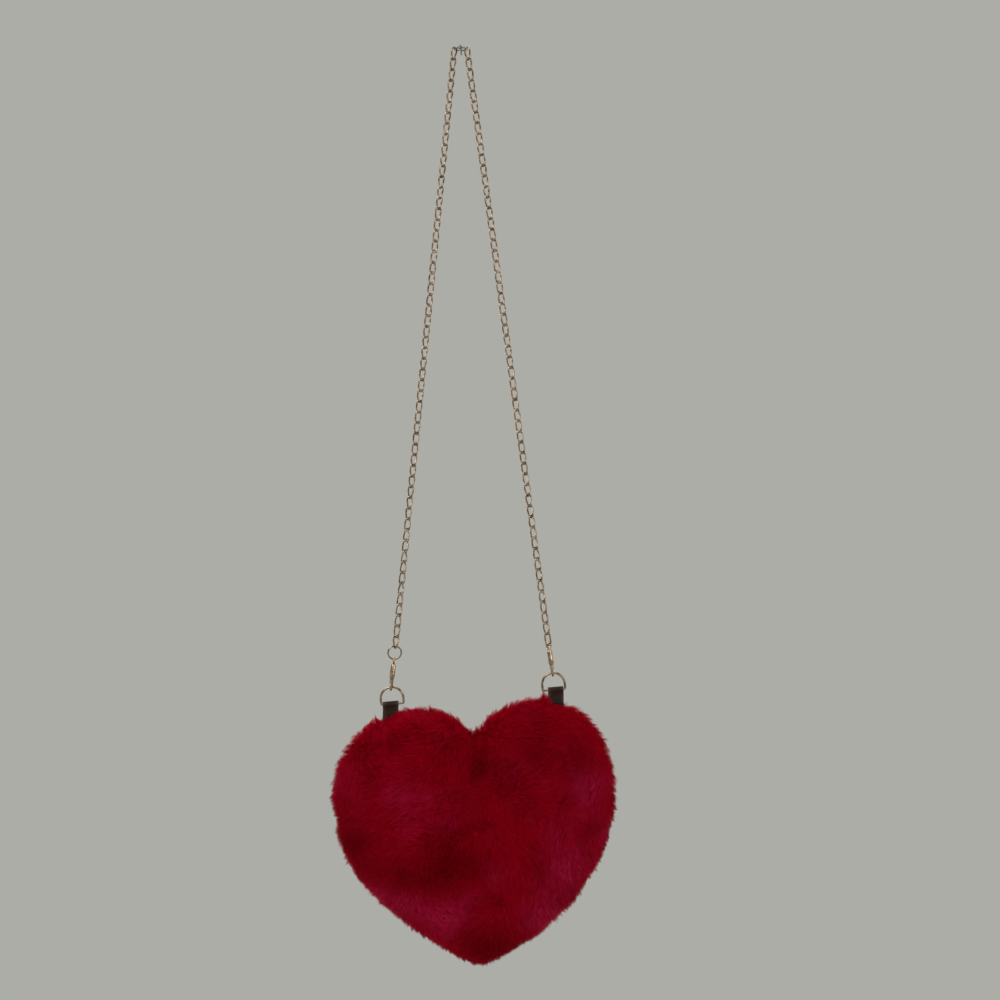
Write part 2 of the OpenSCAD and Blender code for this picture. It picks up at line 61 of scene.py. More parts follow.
MM = 0.001
JOINTS = {joint["name"]: joint for joint in frame["joints"]}
SIDES = ((-1, "left"), (1, "right"))
FRONT, BACK = -1, 1
HALVES = ((FRONT, "front"), (BACK, "back"))
BACKWARD = np.array([0.0, 1.0, 0.0])
CORNERS = ((1, 1), (-1, 1), (-1, -1), (1, -1))


def length_of(name, millimetres, about):
    return FloatProperty(
        name=name, description=about, default=millimetres * MM, unit="LENGTH", precision=5
    )


def angle_of(name, degrees, about):
    return FloatProperty(
        name=name, description=about, default=math.radians(degrees), subtype="ANGLE"
    )


def count_of(name, default, about):
    return IntProperty(name=name, description=about, default=default)


def colour_of(name, default, about):
    return FloatVectorProperty(
        name=name, description=about, default=default, size=3, min=0, max=1, subtype="COLOR"
    )


class PurseSizes(bpy.types.PropertyGroup):
    """Sizes of the purse's pieces."""

    link_wire: length_of("Link wire", 1.58, "Thickness of a chain link's wire")
    link_width: length_of("Link width", 5.9, "Outer width of a chain link")
    link_pitch: length_of("Link pitch", 10.1, "Length that one link adds to the chain")
    link_gap: length_of("Link gap", 0.3, "Play between two links")
    link_twist: angle_of("Link twist", 48, "Turn of a curb link from end to end")
    links: count_of("Links", 14, "Links in each length of chain")
    tab_width: length_of("Tab width", 14.6, "Width of a leather tab")
    tab_leather: length_of("Tab leather", 1.2, "Thickness of the tab's leather")
    tab_length: length_of("Tab length", 18, "Length of a tab below the ring's bar")
    ring_wire: length_of("Ring wire", 2.2, "Thickness of a D-ring's wire")
    heart_width: length_of("Heart width", 262, "Width of the heart over its pressed pile")
    heart_height: length_of("Heart height", 218, "Height of the heart from cleft to tip")
    front_depth: length_of("Front depth", 34, "Depth of the front half")
    back_depth: length_of("Back depth", 27, "Depth of the back half")
    cloth_inset: length_of("Cloth inset", 4.6, "Depth of the cloth under the pressed pile")
    plump: length_of("Plump", 2.6, "Height of the fur cloth's soft swells")
    cloth_thickness: length_of("Cloth thickness", 1.2, "Thickness of the fur cloth's backing")
    pile_length: length_of("Pile length", 10.5, "Length of a strand of the pile")
    pile_width: length_of("Pile width", 0.27, "Thickness of a strand at its root")
    pile_lean: angle_of("Pile lean", 57, "Lean of the pile away from upright")
    front_strands: count_of("Front strands", 112000, "Strands drawn for the front")
    back_strands: count_of("Back strands", 84000, "Strands drawn for the back")
    padding_thickness: length_of("Padding", 4.6, "Thickness of the foam padding")
    lining_thickness: length_of("Lining", 0.8, "Thickness of the lining")
    zip_length: length_of("Zip length", 130, "Length of the zip's rows of teeth")
    zip_slot: length_of("Zip slot", 20.6, "Height of the slot for the zip")
    slot_length: length_of("Slot length", 154.7, "Length of the slot for the zip")
    zip_rise: length_of("Zip rise", 38, "Height of the zip over the heart's middle")
    zip_level: length_of("Zip level", 18.4, "Distance of the tape's face behind the seam")
    tape_thickness: length_of("Tape", 0.8, "Thickness of the zip tape")
    camera_distance: length_of("Camera distance", 780, "Distance from the camera to the purse")
    view_height: length_of("View height", 940, "Height of the view at the purse")


class PurseColours(bpy.types.PropertyGroup):
    """Colours of the purse's finishes."""

    chain: colour_of("Chain", (0.46, 0.335, 0.23), "Dull rose gold of the chain and rings")
    hook: colour_of("Hook", (0.60, 0.42, 0.29), "Brighter gold of the hooks")
    steel: colour_of("Steel", (0.42, 0.42, 0.44), "Steel of the gate springs")
    leather: colour_of("Leather", (0.021, 0.008, 0.005), "Dark brown leather of the tabs")
    worn_leather: colour_of("Worn leather", (0.10, 0.06, 0.042), "Rubbed edges of the tabs")
    fur_root: colour_of("Fur root", (0.50, 0.0003, 0.010), "Shaded foot of the pile")
    fur_body: colour_of("Fur body", (0.585, 0.0003, 0.013), "Deep red of the pile")
    fur_tip: colour_of("Fur tip", (0.68, 0.0008, 0.03), "Ends of the pile")
    # Painted sheen: the pinker colour that the pile is painted where it is combed flat
    fur_painted_sheen: colour_of("Fur gloss", (1.0, 0.045, 0.21), "Pinkish pile where it is combed flat")
    foam: colour_of("Foam", (0.70, 0.66, 0.57), "Foam padding")
    lining: colour_of("Lining", (0.10, 0.004, 0.014), "Satin lining")
    tape: colour_of("Tape", (0.075, 0.002, 0.010), "Zip tape and seam tape")
    backdrop: colour_of("Backdrop", (0.415, 0.418, 0.388), "Backdrop, and the floor far out")


# Node materials


class Nodes:
    """The node tree of a material or world, built node by node."""

    def __init__(self, owner):
        owner.use_nodes = True
        self.tree = owner.node_tree
        self.tree.nodes.clear()

    def put(self, socket, value):
        """Links a socket to another, or sets it to a number, vector or colour."""
        if isinstance(value, bpy.types.NodeSocket):
            self.tree.links.new(value, socket)
        else:
            socket.default_value = (*value, 1) if socket.type == "RGBA" else value

    def node(self, kind, sockets=None, **settings):
        node = self.tree.nodes.new("ShaderNode" + kind)
        for name, value in settings.items():
            setattr(node, name, value)
        for name, value in (sockets or {}).items():
            self.put(node.inputs[name], value)
        return node

    def maths(self, operation, a, b):
        return self.node("Math", {0: a, 1: b}, operation=operation).outputs[0]

    def mix_shaders(self, share, a, b):
        return self.node("MixShader", {0: share, 1: a, 2: b}).outputs[0]


class Finish(Nodes):
    """One procedural material, whose nodes read the piece's own coordinates."""

    def __init__(self, name):
        self.material = bpy.data.materials.new(name)
        super().__init__(self.material)
        self.shader = self.node("BsdfPrincipled")
        self.out = self.node("OutputMaterial", {"Surface": self.shader.outputs[0]})
        self.place = self.node("TexCoord").outputs["Object"]

    def set(self, **values):
        """Sets or links the shader's sockets, named with _ for a space."""
        for name, value in values.items():
            self.put(self.shader.inputs[name.replace("_", " ")], value)

    def noise(self, scale, detail=4, roughness=0.6, place=None):
        sockets = {"Scale": scale, "Detail": detail, "Roughness": roughness}
        sockets["Vector"] = place or self.place
        return self.node("TexNoise", sockets).outputs["Fac"]

    def cells(self, scale, feature="DISTANCE_TO_EDGE"):
        sockets = {"Vector": self.place, "Scale": scale}
        return self.node("TexVoronoi", sockets, feature=feature).outputs["Distance"]

    def bands(self, scale, way, distortion=0.0):
        sockets = {"Vector": self.place, "Scale": scale, "Distortion": distortion}
        return self.node("TexWave", sockets, bands_direction=way).outputs["Fac"]

    def mark(self, name):
        return self.node("Attribute", attribute_name=name).outputs["Fac"]

    def spread(self, value, low, high, to_low=0.0, to_high=1.0):
        """Maps low to high onto another range, and keeps the result inside it."""
        sockets = {"Value": value, "From Min": low, "From Max": high}
        sockets |= {"To Min": to_low, "To Max": to_high}
        return self.node("MapRange", sockets).outputs[0]

    def mix(self, share, a, b, kind="MIX"):
        node = self.node("Mix", data_type="RGBA", blend_type=kind)
        for identifier, value in (("Factor_Float", share), ("A_Color", a), ("B_Color", b)):
            self.put(next(s for s in node.inputs if s.identifier == identifier), value)
        return next(s for s in node.outputs if s.identifier == "Result_Color")

    def mottled(self, scale, dark, light):
        """Soft clouds of a darker and a lighter colour."""
        return self.mix(self.spread(self.noise(scale), 0.3, 0.7), dark, light)

    def bump(self, height, strength, distance):
        sockets = {"Height": height, "Strength": strength, "Distance": distance}
        self.set(Normal=self.node("Bump", sockets).outputs[0])


def shade(colour, share):
    return tuple(max(0.0, min(1.0, c * share)) for c in colour)


def metal_finish(name, colour, roughness, tarnish):
    """Plated wire: cloudy tarnish, fine rubbed lines with painted glints, and small dents."""
    finish = Finish(name)
    cloud = finish.noise(260)
    drawn = finish.node("Mapping", {"Vector": finish.place, "Scale": (1, 1, 0.12)}).outputs[0]
    rubbed = finish.noise(900, 2, 0.5, drawn)
    worn = finish.spread(cloud, 0.4, 0.6)
    base = finish.mix(worn, shade(colour, 1 - tarnish), shade(colour, 1.12))
    # Painted glints: the fine rubbed lines are painted lighter, up to 1.35 times the colour, as
    # highlights along the wire
    base = finish.mix(finish.spread(rubbed, 0.5, 0.8, 0.0, 0.35), base, shade(colour, 1.35))
    finish.set(Base_Color=base, Metallic=1.0)
    finish.set(Roughness=finish.spread(rubbed, 0.25, 0.75, roughness * 0.75, roughness * 1.4))
    finish.bump(finish.maths("ADD", rubbed, cloud), 0.12, 0.00003)
    return finish.material


def leather_finish(colours):
    """Dark smooth leather: fine pebbled grain, rubbed lighter along its edges."""
    finish = Finish("tab_leather")
    dark, light = shade(colours.leather, 0.7), shade(colours.leather, 1.5)
    cloud = finish.noise(260)
    pebble = finish.maths("MINIMUM", finish.maths("MULTIPLY", finish.cells(1500), 4.0), 1.0)
    pebble = finish.maths("ADD", pebble, finish.maths("MULTIPLY", finish.cells(520), 1.4))
    base = finish.mix(finish.spread(cloud, 0.3, 0.7), dark, light)
    rubbed = finish.maths("MULTIPLY", finish.mark("edge"), finish.spread(cloud, 0.25, 0.65))
    base = finish.mix(rubbed, base, colours.worn_leather)
    finish.set(Base_Color=base, Roughness=finish.spread(pebble, 0.1, 1.6, 0.62, 0.42))
    finish.set(Specular_IOR_Level=0.22)
    finish.bump(pebble, 0.35, 0.00012)
    return finish.material


def pile_finish(colours):
    """Faux fur strands: shaded feet, red bodies, pinker ends, painted shade in folds, painted sheen
    where combed.
    """
    finish = Finish("red_pile")
    height = finish.mark("pile_height")
    small = finish.noise(70, 3, 0.55)
    body = finish.mix(finish.spread(height, 0.5, 1.0), colours.fur_body, colours.fur_tip)
    # Painted sheen: combed patches are painted pinker, most towards the strands' ends
    painted_sheen = finish.maths("MULTIPLY", finish.mark("combed"), finish.spread(height, 0.1, 0.8))
    body = finish.mix(painted_sheen, body, colours.fur_painted_sheen)
    # Painted shade: the pile is darkened towards 0.55 of its body colour in folds; small random
    # patches darken it a little too
    patchy = finish.spread(small, 0.45, 0.75, 0.0, 0.12)
    shaded = finish.maths("ADD", finish.mark("painted_hollow_shade"), patchy)
    body = finish.mix(shaded, body, shade(colours.fur_body, 0.55))
    body = finish.mix(finish.spread(height, 0.0, 0.5), colours.fur_root, body)
    tint = finish.mix(finish.mark("strand_tint"), (0.82, 0.82, 0.82), (1.0, 1.0, 1.0))
    body = finish.mix(1.0, body, tint, "MULTIPLY")
    finish.set(Base_Color=body, Roughness=0.5, Specular_IOR_Level=0.02, Metallic=0.1)
    return finish.material


def cloth_finish(colours):
    """Knitted backing of the fur, seen only between the strands, painted dark as the shade there.
    """
    finish = Finish("fur_cloth")
    knit = finish.maths("MULTIPLY", finish.bands(330, "X"), finish.bands(330, "Z"))
    # Painted shade: the backing takes darkened colours of the pile's feet and body
    base = finish.mottled(60, shade(colours.fur_root, 0.8), shade(colours.fur_body, 0.6))
    finish.set(Base_Color=base, Roughness=finish.spread(knit, 0, 1, 0.98, 0.9))
    finish.set(Specular_IOR_Level=0.03)
    finish.bump(knit, 0.5, 0.0004)
    return finish.material


def woven_finish(name, colour, thread, gloss):
    """Woven cloth: crossing threads with a painted highlight on their raised tops, slightly uneven
    dye.
    """
    finish = Finish(name)
    across, down = (finish.bands(thread, way, 0.4) for way in "XZ")
    weave = finish.maths("MAXIMUM", finish.maths("MULTIPLY", across, 0.9), down)
    base = finish.mottled(120, shade(colour, 0.75), shade(colour, 1.3))
    # Painted highlight: the raised tops of the threads are painted lighter
    base = finish.mix(finish.spread(weave, 0.2, 1.0, 0.0, 0.5), base, shade(colour, 1.7))
    finish.set(Base_Color=base, Roughness=finish.spread(weave, 0, 1, gloss + 0.15, gloss))
    finish.set(Sheen_Weight=0.2, Sheen_Roughness=0.5)
    finish.bump(weave, 0.6, 0.0002)
    return finish.material


def foam_finish(colours):
    """Open foam: small pores with painted shade in them, and a yellowed tone."""
    finish = Finish("foam")
    pores = finish.cells(900, "F1")
    base = finish.mottled(45, shade(colours.foam, 0.86), colours.foam)
    # Painted shade: the pores are darkened towards half the foam's colour
    painted_pit_shade = finish.spread(pores, 0.0, 0.35, 0.55, 0.0)
    base = finish.mix(painted_pit_shade, base, shade(colours.foam, 0.5))
    finish.set(Base_Color=base, Roughness=finish.spread(pores, 0, 0.6, 0.98, 0.85))
    finish.bump(pores, 0.7, 0.0005)
    return finish.material


# Meshes


def placed(name, data):
    """A new object in the scene."""
    thing = bpy.data.objects.new(name, data)
    bpy.context.scene.collection.objects.link(thing)
    return thing


def mark_points(mesh, marks):
    """Stores a number for each of the mesh's points under each mark's name."""
    for mark, values in marks.items():
        data = mesh.attributes.new(mark, "FLOAT", "POINT").data
        data.foreach_set("value", np.asarray(values, np.float32))


def mesh_of(name, points, faces, material, smooth=False):
    mesh = bpy.data.meshes.new(name)
    mesh.from_pydata([tuple(map(float, p)) for p in points], [], faces)
    mesh.polygons.foreach_set("use_smooth", np.full(len(mesh.polygons), smooth))
    mesh.materials.append(material)
    return mesh


def piece_of(name, points, faces, body, material, replaces=(), smooth=True, marks=None):
    """Makes a piece from points and faces in the row frame, riding on a body."""
    mesh = mesh_of(name, points, faces, material, smooth)
    mark_points(mesh, marks or {})
    return riding(name, mesh, body, replaces)


def riding(name, mesh, body, replaces=()):
    """A new piece with this mesh that rides on a body."""
    piece = placed(name, mesh)
    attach(piece, body)
    if replaces:
        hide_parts(*replaces)
    return piece


def dress(node, material):
    """Gives a carried-over CAD node its material."""
    mesh = frame["nodes"][node].data
    mesh.materials.clear()
    mesh.materials.append(material)


def lathe_faces(rings, around, closed_rings=False, start=0):
    """Quads of a tube of rings with so many points around."""
    faces = []
    for r in range(rings if closed_rings else rings - 1):
        a, b = start + r * around, start + (r + 1) % rings * around
        for k in range(around):
            n = (k + 1) % around
            faces.append((a + k, a + n, b + n, b + k))
    return faces


def tube_faces(rings, around, start=0):
    """Faces of a tube of rings that is capped at both ends."""
    last = start + around * (rings - 1)
    caps = [tuple(range(start, start + around))[::-1], tuple(range(last, last + around))]
    return lathe_faces(rings, around, False, start) + caps


def add_tube(points, faces, rings):
    """Adds a capped tube through rings of points."""
    faces += tube_faces(len(rings), len(rings[0]), len(points))
    for ring in rings:
        points += ring


def corner_arc(corner, steps):
    """Directions round one of the four corners of a rectangle."""
    angles = [math.pi / 2 * (corner + k / steps) for k in range(steps + 1)]
    return [(math.cos(a), math.sin(a)) for a in angles]


def smooth_shares(t):
    """Shares of the start, its slope, the end and its slope at t along a smooth curve."""
    return 2 * t**3 - 3 * t**2 + 1, t**3 - 2 * t**2 + t, 3 * t**2 - 2 * t**3, t**3 - t**2


def ripples(points, wavelength, seed, count=12):
    """Smooth noise of about -1 to 1: waves in directions that the seed draws."""
    draw = np.random.default_rng(seed)
    way = draw.normal(size=(count, 3))
    way /= np.linalg.norm(way, axis=1)[:, None]
    pace = 2 * math.pi / wavelength * draw.uniform(0.7, 1.45, count)
    shift = draw.uniform(0, 2 * math.pi, count)
    return np.sin(points @ (way * pace[:, None]).T + shift).sum(1) / math.sqrt(count / 2) * 0.7


def spots(points, places, narrow):
    """Sum of soft round spots, whose places are rows of X, Z, radius and strength."""
    total = 0.0
    for x, z, radius, strength in places:
        far = ((points[:, 0] - x * MM) ** 2 + (points[:, 2] - z * MM) ** 2) / (radius * MM) ** 2
        total = total + strength * np.exp(-narrow * far)
    return total


def unit(vectors):
    return vectors / np.maximum(np.linalg.norm(vectors, axis=-1, keepdims=True), 1e-12)


# The chain

LINK_STEPS, LINK_AROUND = 12, 10
# Degrees that the middle links of each length of chain turn away from its ends
CHAIN_TURNS = {"left": (2, 40, 20, 52), "right": (14, 26, 20, 34)}
EASED_LINKS = 3
# Share of its width by which a link's long sides bow out
LINK_BOW = 0.04


def strand_line(name):
    """Top of one side of the chain and the direction up it, from its swivel's joint."""
    sizes = bpy.context.scene.purse_sizes
    joint = JOINTS[f"swivel_{name}"]
    foot, up = np.array(joint["pos_m"], float), np.array(joint["axis"], float)
    length = len(CHAIN_TURNS[name]) * sizes.links * sizes.link_pitch
    if name == "left":
        low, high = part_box("jump_ring")
        length += 2 * abs((np.array((low + high) / 2, float) - foot) @ up)
    return foot + up * length, up


def link_points(sizes, turn, twist):
    """Points of a curb link about its own middle, long along Z, turned and twisted about it."""
    bend = (sizes.link_width - sizes.link_wire) / 2
    straight = (sizes.link_pitch + sizes.link_gap) / 2 - bend + sizes.link_wire / 2
    bow = LINK_BOW * sizes.link_width
    arc = [math.pi * k / LINK_STEPS for k in range(LINK_STEPS)]
    run = [1 - 2 * (k + 0.5) / LINK_STEPS for k in range(LINK_STEPS)]
    half = [(bend * math.cos(a), straight + bend * math.sin(a)) for a in arc]
    half += [(-bend - bow * (1 - t * t), straight * t) for t in run]
    x, z = np.array(half + [(-x, -z) for x, z in half]).T
    turn = turn + twist / 2 * np.sin(np.clip(z / straight, -1, 1) * math.pi / 2)
    middle = np.stack([x * np.cos(turn), x * np.sin(turn), z], 1)
    face = np.stack([-np.sin(turn), np.cos(turn), np.zeros(len(turn))], 1)
    along = unit(np.roll(middle, -1, 0) - np.roll(middle, 1, 0))
    across = unit(np.cross(along, face))
    face = np.cross(across, along)
    angle = -2 * math.pi * np.arange(LINK_AROUND) / LINK_AROUND
    ring = across[:, None] * np.cos(angle)[:, None] + face[:, None] * np.sin(angle)[:, None]
    return (middle[:, None] + ring * sizes.link_wire / 2).reshape(-1, 3)


class PURSE_OT_chain(bpy.types.Operator):
    """Makes the eight lengths of curb chain and finishes the top link and the rings"""

    bl_idname = "purse.chain"
    bl_label = "Chain"

    def execute(self, context):
        sizes, colours = context.scene.purse_sizes, context.scene.purse_colours
        metal = metal_finish("chain_metal", colours.chain, 0.13, 0.6)
        for _, name in SIDES:
            for part in range(len(CHAIN_TURNS[name])):
                points, faces = self.length_of_chain(sizes, name, part)
                piece_of(
                    f"curb_chain_{name}_{part + 1}", points, faces, f"strap_{part + 1}",
                    metal, [f"chain_{name}_{part + 1}"],
                )
        for node in ("top_link", "jump_ring", "d_ring_left", "d_ring_right"):
            dress(node, metal)
        return {"FINISHED"}

    def length_of_chain(self, sizes, name, part):
        top, up = strand_line(name)
        basis = np.stack([unit(np.cross(BACKWARD, up)), BACKWARD, up])
        points, faces = [], []
        for k in range(sizes.links):
            below = sizes.links - 1 - k
            ease = min(k, below, EASED_LINKS) / EASED_LINKS
            sway = math.radians(CHAIN_TURNS[name][part]) * ease
            sway *= 1 + 0.25 * math.sin(2.1 * k + part)
            # The link in the right swivel's eye is flat, so that the eye can turn
            in_eye = name == "right" and part == len(CHAIN_TURNS[name]) - 1 and below == 0
            twist = 0.0 if in_eye else sizes.link_twist
            link = link_points(sizes, sway - twist / 2, twist)
            middle = top - up * (part * sizes.links + k + 0.5) * sizes.link_pitch
            faces += lathe_faces(4 * LINK_STEPS, LINK_AROUND, True, len(points))
            points += list(link @ basis + middle)
        return points, faces


class PURSE_OT_hooks(bpy.types.Operator):
    """Finishes the snap hooks, their swivels, gates, pins and springs"""

    bl_idname = "purse.hooks"
    bl_label = "Snap hooks"

    def execute(self, context):
        colours = context.scene.purse_colours
        gold = metal_finish("hook_metal", colours.hook, 0.09, 0.55)
        steel = metal_finish("spring_steel", colours.steel, 0.3, 0.3)
        for _, side in SIDES:
            for node in ("swivel_eye", "hook_body", "hook_gate", "gate_pin"):
                dress(f"{node}_{side}", gold)
            dress(f"gate_spring_{side}", steel)
        return {"FINISHED"}


# The tabs

BAR_PLAY = 0.3 * MM
FOLD_GAP = 0.02 * MM
LEATHER_ROUND = 0.38 * MM
# Where the strap leaves the bar, and its steps down to where it lies flat and over the bar
TAB_TOUCH = math.radians(-38)
TAB_STEPS, TAB_OVER_STEPS = 12, 22
# Height where it lies flat, and pull of its curve, as shares of its radius over the bar
TAB_FLAT, TAB_PULL = -3.1, 1.9
TAB_WAVER = 0.012
# The tabs are sewn in a little aslant
TAB_SLANTS = {"left": math.radians(7), "right": math.radians(4)}


def bar_frame(name):
    """Middle of a D-ring's bar, and the directions along it and up from it."""
    sizes = bpy.context.scene.purse_sizes
    joint = JOINTS["bag_swing"]
    along = -np.array(joint["axis"], float)
    up = np.array([-along[2], 0.0, along[0]])
    pivot = np.array(joint["pos_m"], float)
    low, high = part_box(f"tab_{name}")
    over_box = pivot + along * ((low.x + high.x) / 2 - pivot[0]) / along[0]
    # The tab hangs square to the leaning bar, so the middle of its box is a little beside its own
    loop = sizes.ring_wire / 2 + BAR_PLAY + sizes.tab_leather
    shift = (loop - sizes.tab_length) / 2 * up[0]
    return over_box - along * shift, along, up


def tab_path(sizes):
    """Middle line of the folded strap in its side view: out of the seam, over the bar, back in."""
    loop = sizes.ring_wire / 2 + BAR_PLAY + sizes.tab_leather / 2
    flat_y, flat_z, reach = -sizes.tab_leather / 2 - FOLD_GAP, TAB_FLAT * loop, TAB_PULL * loop
    off_y, off_z = -math.cos(TAB_TOUCH), math.sin(TAB_TOUCH)
    down = []
    for k in range(TAB_STEPS + 1):
        off, off_way, flat, flat_way = smooth_shares(k / TAB_STEPS)
        y = off * loop * off_y - off_way * reach * off_z + flat * flat_y
        z = off * loop * off_z + off_way * reach * off_y + flat * flat_z - flat_way * reach
        down.append((y, z))
    down += [(flat_y, (flat_z - sizes.tab_length) / 2), (flat_y, -sizes.tab_length)]
    sweep = (math.pi - 2 * TAB_TOUCH) / TAB_OVER_STEPS
    turn = [TAB_TOUCH + sweep * k for k in range(1, TAB_OVER_STEPS)]
    over = [(-loop * math.cos(a), loop * math.sin(a)) for a in turn]
    return np.array(down[::-1] + over + [(-y, z) for y, z in down])


def tab_section(sizes):
    """The strap's section as rows of place across, height and wear."""
    width, half = sizes.tab_width / 2 - LEATHER_ROUND, sizes.tab_leather / 2 - LEATHER_ROUND
    rows = []
    for corner, (across, over) in enumerate(CORNERS):
        rows += [
            (across * width + LEATHER_ROUND * x, over * half + LEATHER_ROUND * n, 1.0)
            for x, n in corner_arc(corner, 4)
        ]
        if corner % 2 == 0:
            rows += [
                (across * (1 - 2 * t) * width, over * sizes.tab_leather / 2, worn)
                for t, worn in ((0.12, 0.25), (0.35, 0.0), (0.65, 0.0), (0.88, 0.25))
            ]
    return rows


class PURSE_OT_tabs(bpy.types.Operator):
    """Makes the two leather tabs, each folded over the bar of a D-ring"""

    bl_idname = "purse.tabs"
    bl_label = "Leather tabs"

    def execute(self, context):
        sizes = context.scene.purse_sizes
        leather = leather_finish(context.scene.purse_colours)
        path, section = tab_path(sizes), tab_section(sizes)
        along = unit(np.gradient(path, axis=0))
        faces = [face[::-1] for face in tube_faces(len(path), len(section))]
        for side, name in SIDES:
            middle, bar, up = bar_frame(name)
            slant = math.tan(TAB_SLANTS[name])
            points = []
            for i, (y, z) in enumerate(path):
                waver = 1 + TAB_WAVER * math.sin(5.1 * i / len(path) + side)
                for x, n, _ in section:
                    at_y, at_z = y - along[i, 1] * n, z + along[i, 0] * n
                    at_x = x * waver + slant * min(at_z, 0.0)
                    points.append(middle + bar * at_x + BACKWARD * at_y + up * at_z)
            piece_of(
                f"leather_tab_{name}", points, faces, "bag", leather,
                [f"tab_{name}"], marks={"edge": [worn for _, _, worn in section] * len(path)},
            )
        return {"FINISHED"}


# The heart

# Outline of each half from cleft to tip, as shares of its half width and of the heart's height
CLEFT_SHARES = (
    (0, 0), (0.055, 0.024), (0.13, 0.062), (0.22, 0.092), (0.34, 0.112), (0.48, 0.115),
)
RIGHT_SHARES = (
    *CLEFT_SHARES,
    (0.61, 0.1), (0.72, 0.068), (0.81, 0.024), (0.89, -0.035), (0.95, -0.11), (0.987, -0.2),
    (1, -0.3), (0.985, -0.395), (0.94, -0.485), (0.88, -0.57), (0.8, -0.65), (0.692, -0.73),
    (0.55, -0.81), (0.4, -0.885), (0.247, -0.945), (0.113, -0.984), (0, -1),
)
LEFT_SHARES = (
    *CLEFT_SHARES,
    (0.62, 0.101), (0.745, 0.069), (0.85, 0.022), (0.93, -0.042), (0.98, -0.12), (1, -0.205),
    (1, -0.3), (0.985, -0.395), (0.948, -0.485), (0.882, -0.57), (0.79, -0.65), (0.67, -0.73),
    (0.522, -0.807), (0.366, -0.878), (0.218, -0.938), (0.092, -0.981), (0, -1),
)
OUTLINE_STEPS = 8
# Shares of the height: the middle below the cleft, and the part that leans with the rings' bars
MIDDLE_SHARE = 0.385
LIFTED_SHARE = 0.5
ROUNDNESS = {FRONT: 2.6, BACK: 4.0}
DOME_RINGS, PILE_RINGS = 34, 40


def heart_middle():
    """Height of the middle that the heart's outline is drawn about."""
    sizes = bpy.context.scene.purse_sizes
    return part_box("front_panel")[0].z + (1 - MIDDLE_SHARE) * sizes.heart_height


def smooth_half(shares):
    """A smooth line through one half's shares, from the cleft to the tip."""
    shares = np.array(shares)
    ahead = np.vstack([shares[1:], [-shares[-2, 0], shares[-2, 1]]])
    before = np.vstack([2 * shares[0] - shares[1], shares[:-1]])
    slope = (ahead - before) / 2
    half = []
    for i in range(len(shares) - 1):
        for k in range(OUTLINE_STEPS):
            a, a_way, b, b_way = smooth_shares(k / OUTLINE_STEPS)
            half.append(
                a * shares[i] + a_way * slope[i] + b * shares[i + 1] + b_way * slope[i + 1]
            )
    return np.array(half + [shares[-1]])


def heart_outline():
    """Smooth closed outline of the heart about its middle, as X and Z, from the cleft clockwise."""
    sizes = bpy.context.scene.purse_sizes
    axis = JOINTS["bag_swing"]["axis"]
    both = np.vstack([smooth_half(RIGHT_SHARES), smooth_half(LEFT_SHARES)[-2:0:-1] * [-1, 1]])
    x = both[:, 0] * sizes.heart_width / 2
    lift = np.clip(both[:, 1] / LIFTED_SHARE + 1, 0, 1) * axis[2] / axis[0]
    return np.stack([x, (both[:, 1] + MIDDLE_SHARE) * sizes.heart_height + x * lift], 1)


def drawn_in(outline, distance):
    """The outline drawn in by a distance, each point along its own ray to the middle."""
    along = unit(np.roll(outline, -1, 0) - np.roll(outline, 1, 0))
    ray = unit(outline)
    slant = np.maximum(np.abs(along[:, 0] * ray[:, 1] - along[:, 1] * ray[:, 0]), 0.6)
    return outline - ray * (distance / slant)[:, None]


def dome_depth(facing):
    sizes = bpy.context.scene.purse_sizes
    return sizes.front_depth if facing == FRONT else sizes.back_depth


def dome_height(points, outline, depth, facing):
    """Distance of a domed half from the seam's plane at points about the heart's middle."""
    x, z = points[:, 0], points[:, 2]
    angle = np.arctan2(outline[:, 0], outline[:, 1])
    order = np.argsort(angle)
    far = np.linalg.norm(outline, axis=1)[order]
    reach = np.interp(np.arctan2(x, z), angle[order], far, period=2 * math.pi)
    share = np.clip(np.hypot(x, z) / reach, 0, 1)
    return depth * np.sqrt(np.maximum(1 - share ** ROUNDNESS[facing], 0))


def dome_points(outline, depth, facing, rings=DOME_RINGS, rim=0.0):
    """Middle point, then rings of one domed surface out to its rim."""
    points = [[0.0, facing * depth, 0.0]]
    for ring in range(1, rings + 1):
        share = math.sin(math.pi / 2 * ring / rings)
        height = math.sqrt(max(1 - share ** ROUNDNESS[facing], 0)) if ring < rings else 0
        y = facing * max(depth * height, rim)
        points += [[x * share, y, z * share] for x, z in outline]
    return np.array(points)


def dome_faces(around, rings, start, flip):
    faces = []
    for k in range(around):
        n = (k + 1) % around
        faces.append((start, start + 1 + n, start + 1 + k))
        for ring in range(rings - 1):
            a = start + 1 + ring * around
            faces.append((a + k, a + n, a + around + n, a + around + k))
    return faces if flip else [face[::-1] for face in faces]


def shell(outer, inner, around, rings, facing):
    """A closed shell between two domed surfaces of the same make."""
    flip = facing == FRONT
    faces = dome_faces(around, rings, 0, flip) + dome_faces(around, rings, len(outer), not flip)
    last = 1 + (rings - 1) * around
    for k in range(around):
        n = (k + 1) % around
        quad = (last + k, last + n, len(outer) + last + n, len(outer) + last + k)
        faces.append(quad if flip else quad[::-1])
    return np.vstack([outer, inner]), faces


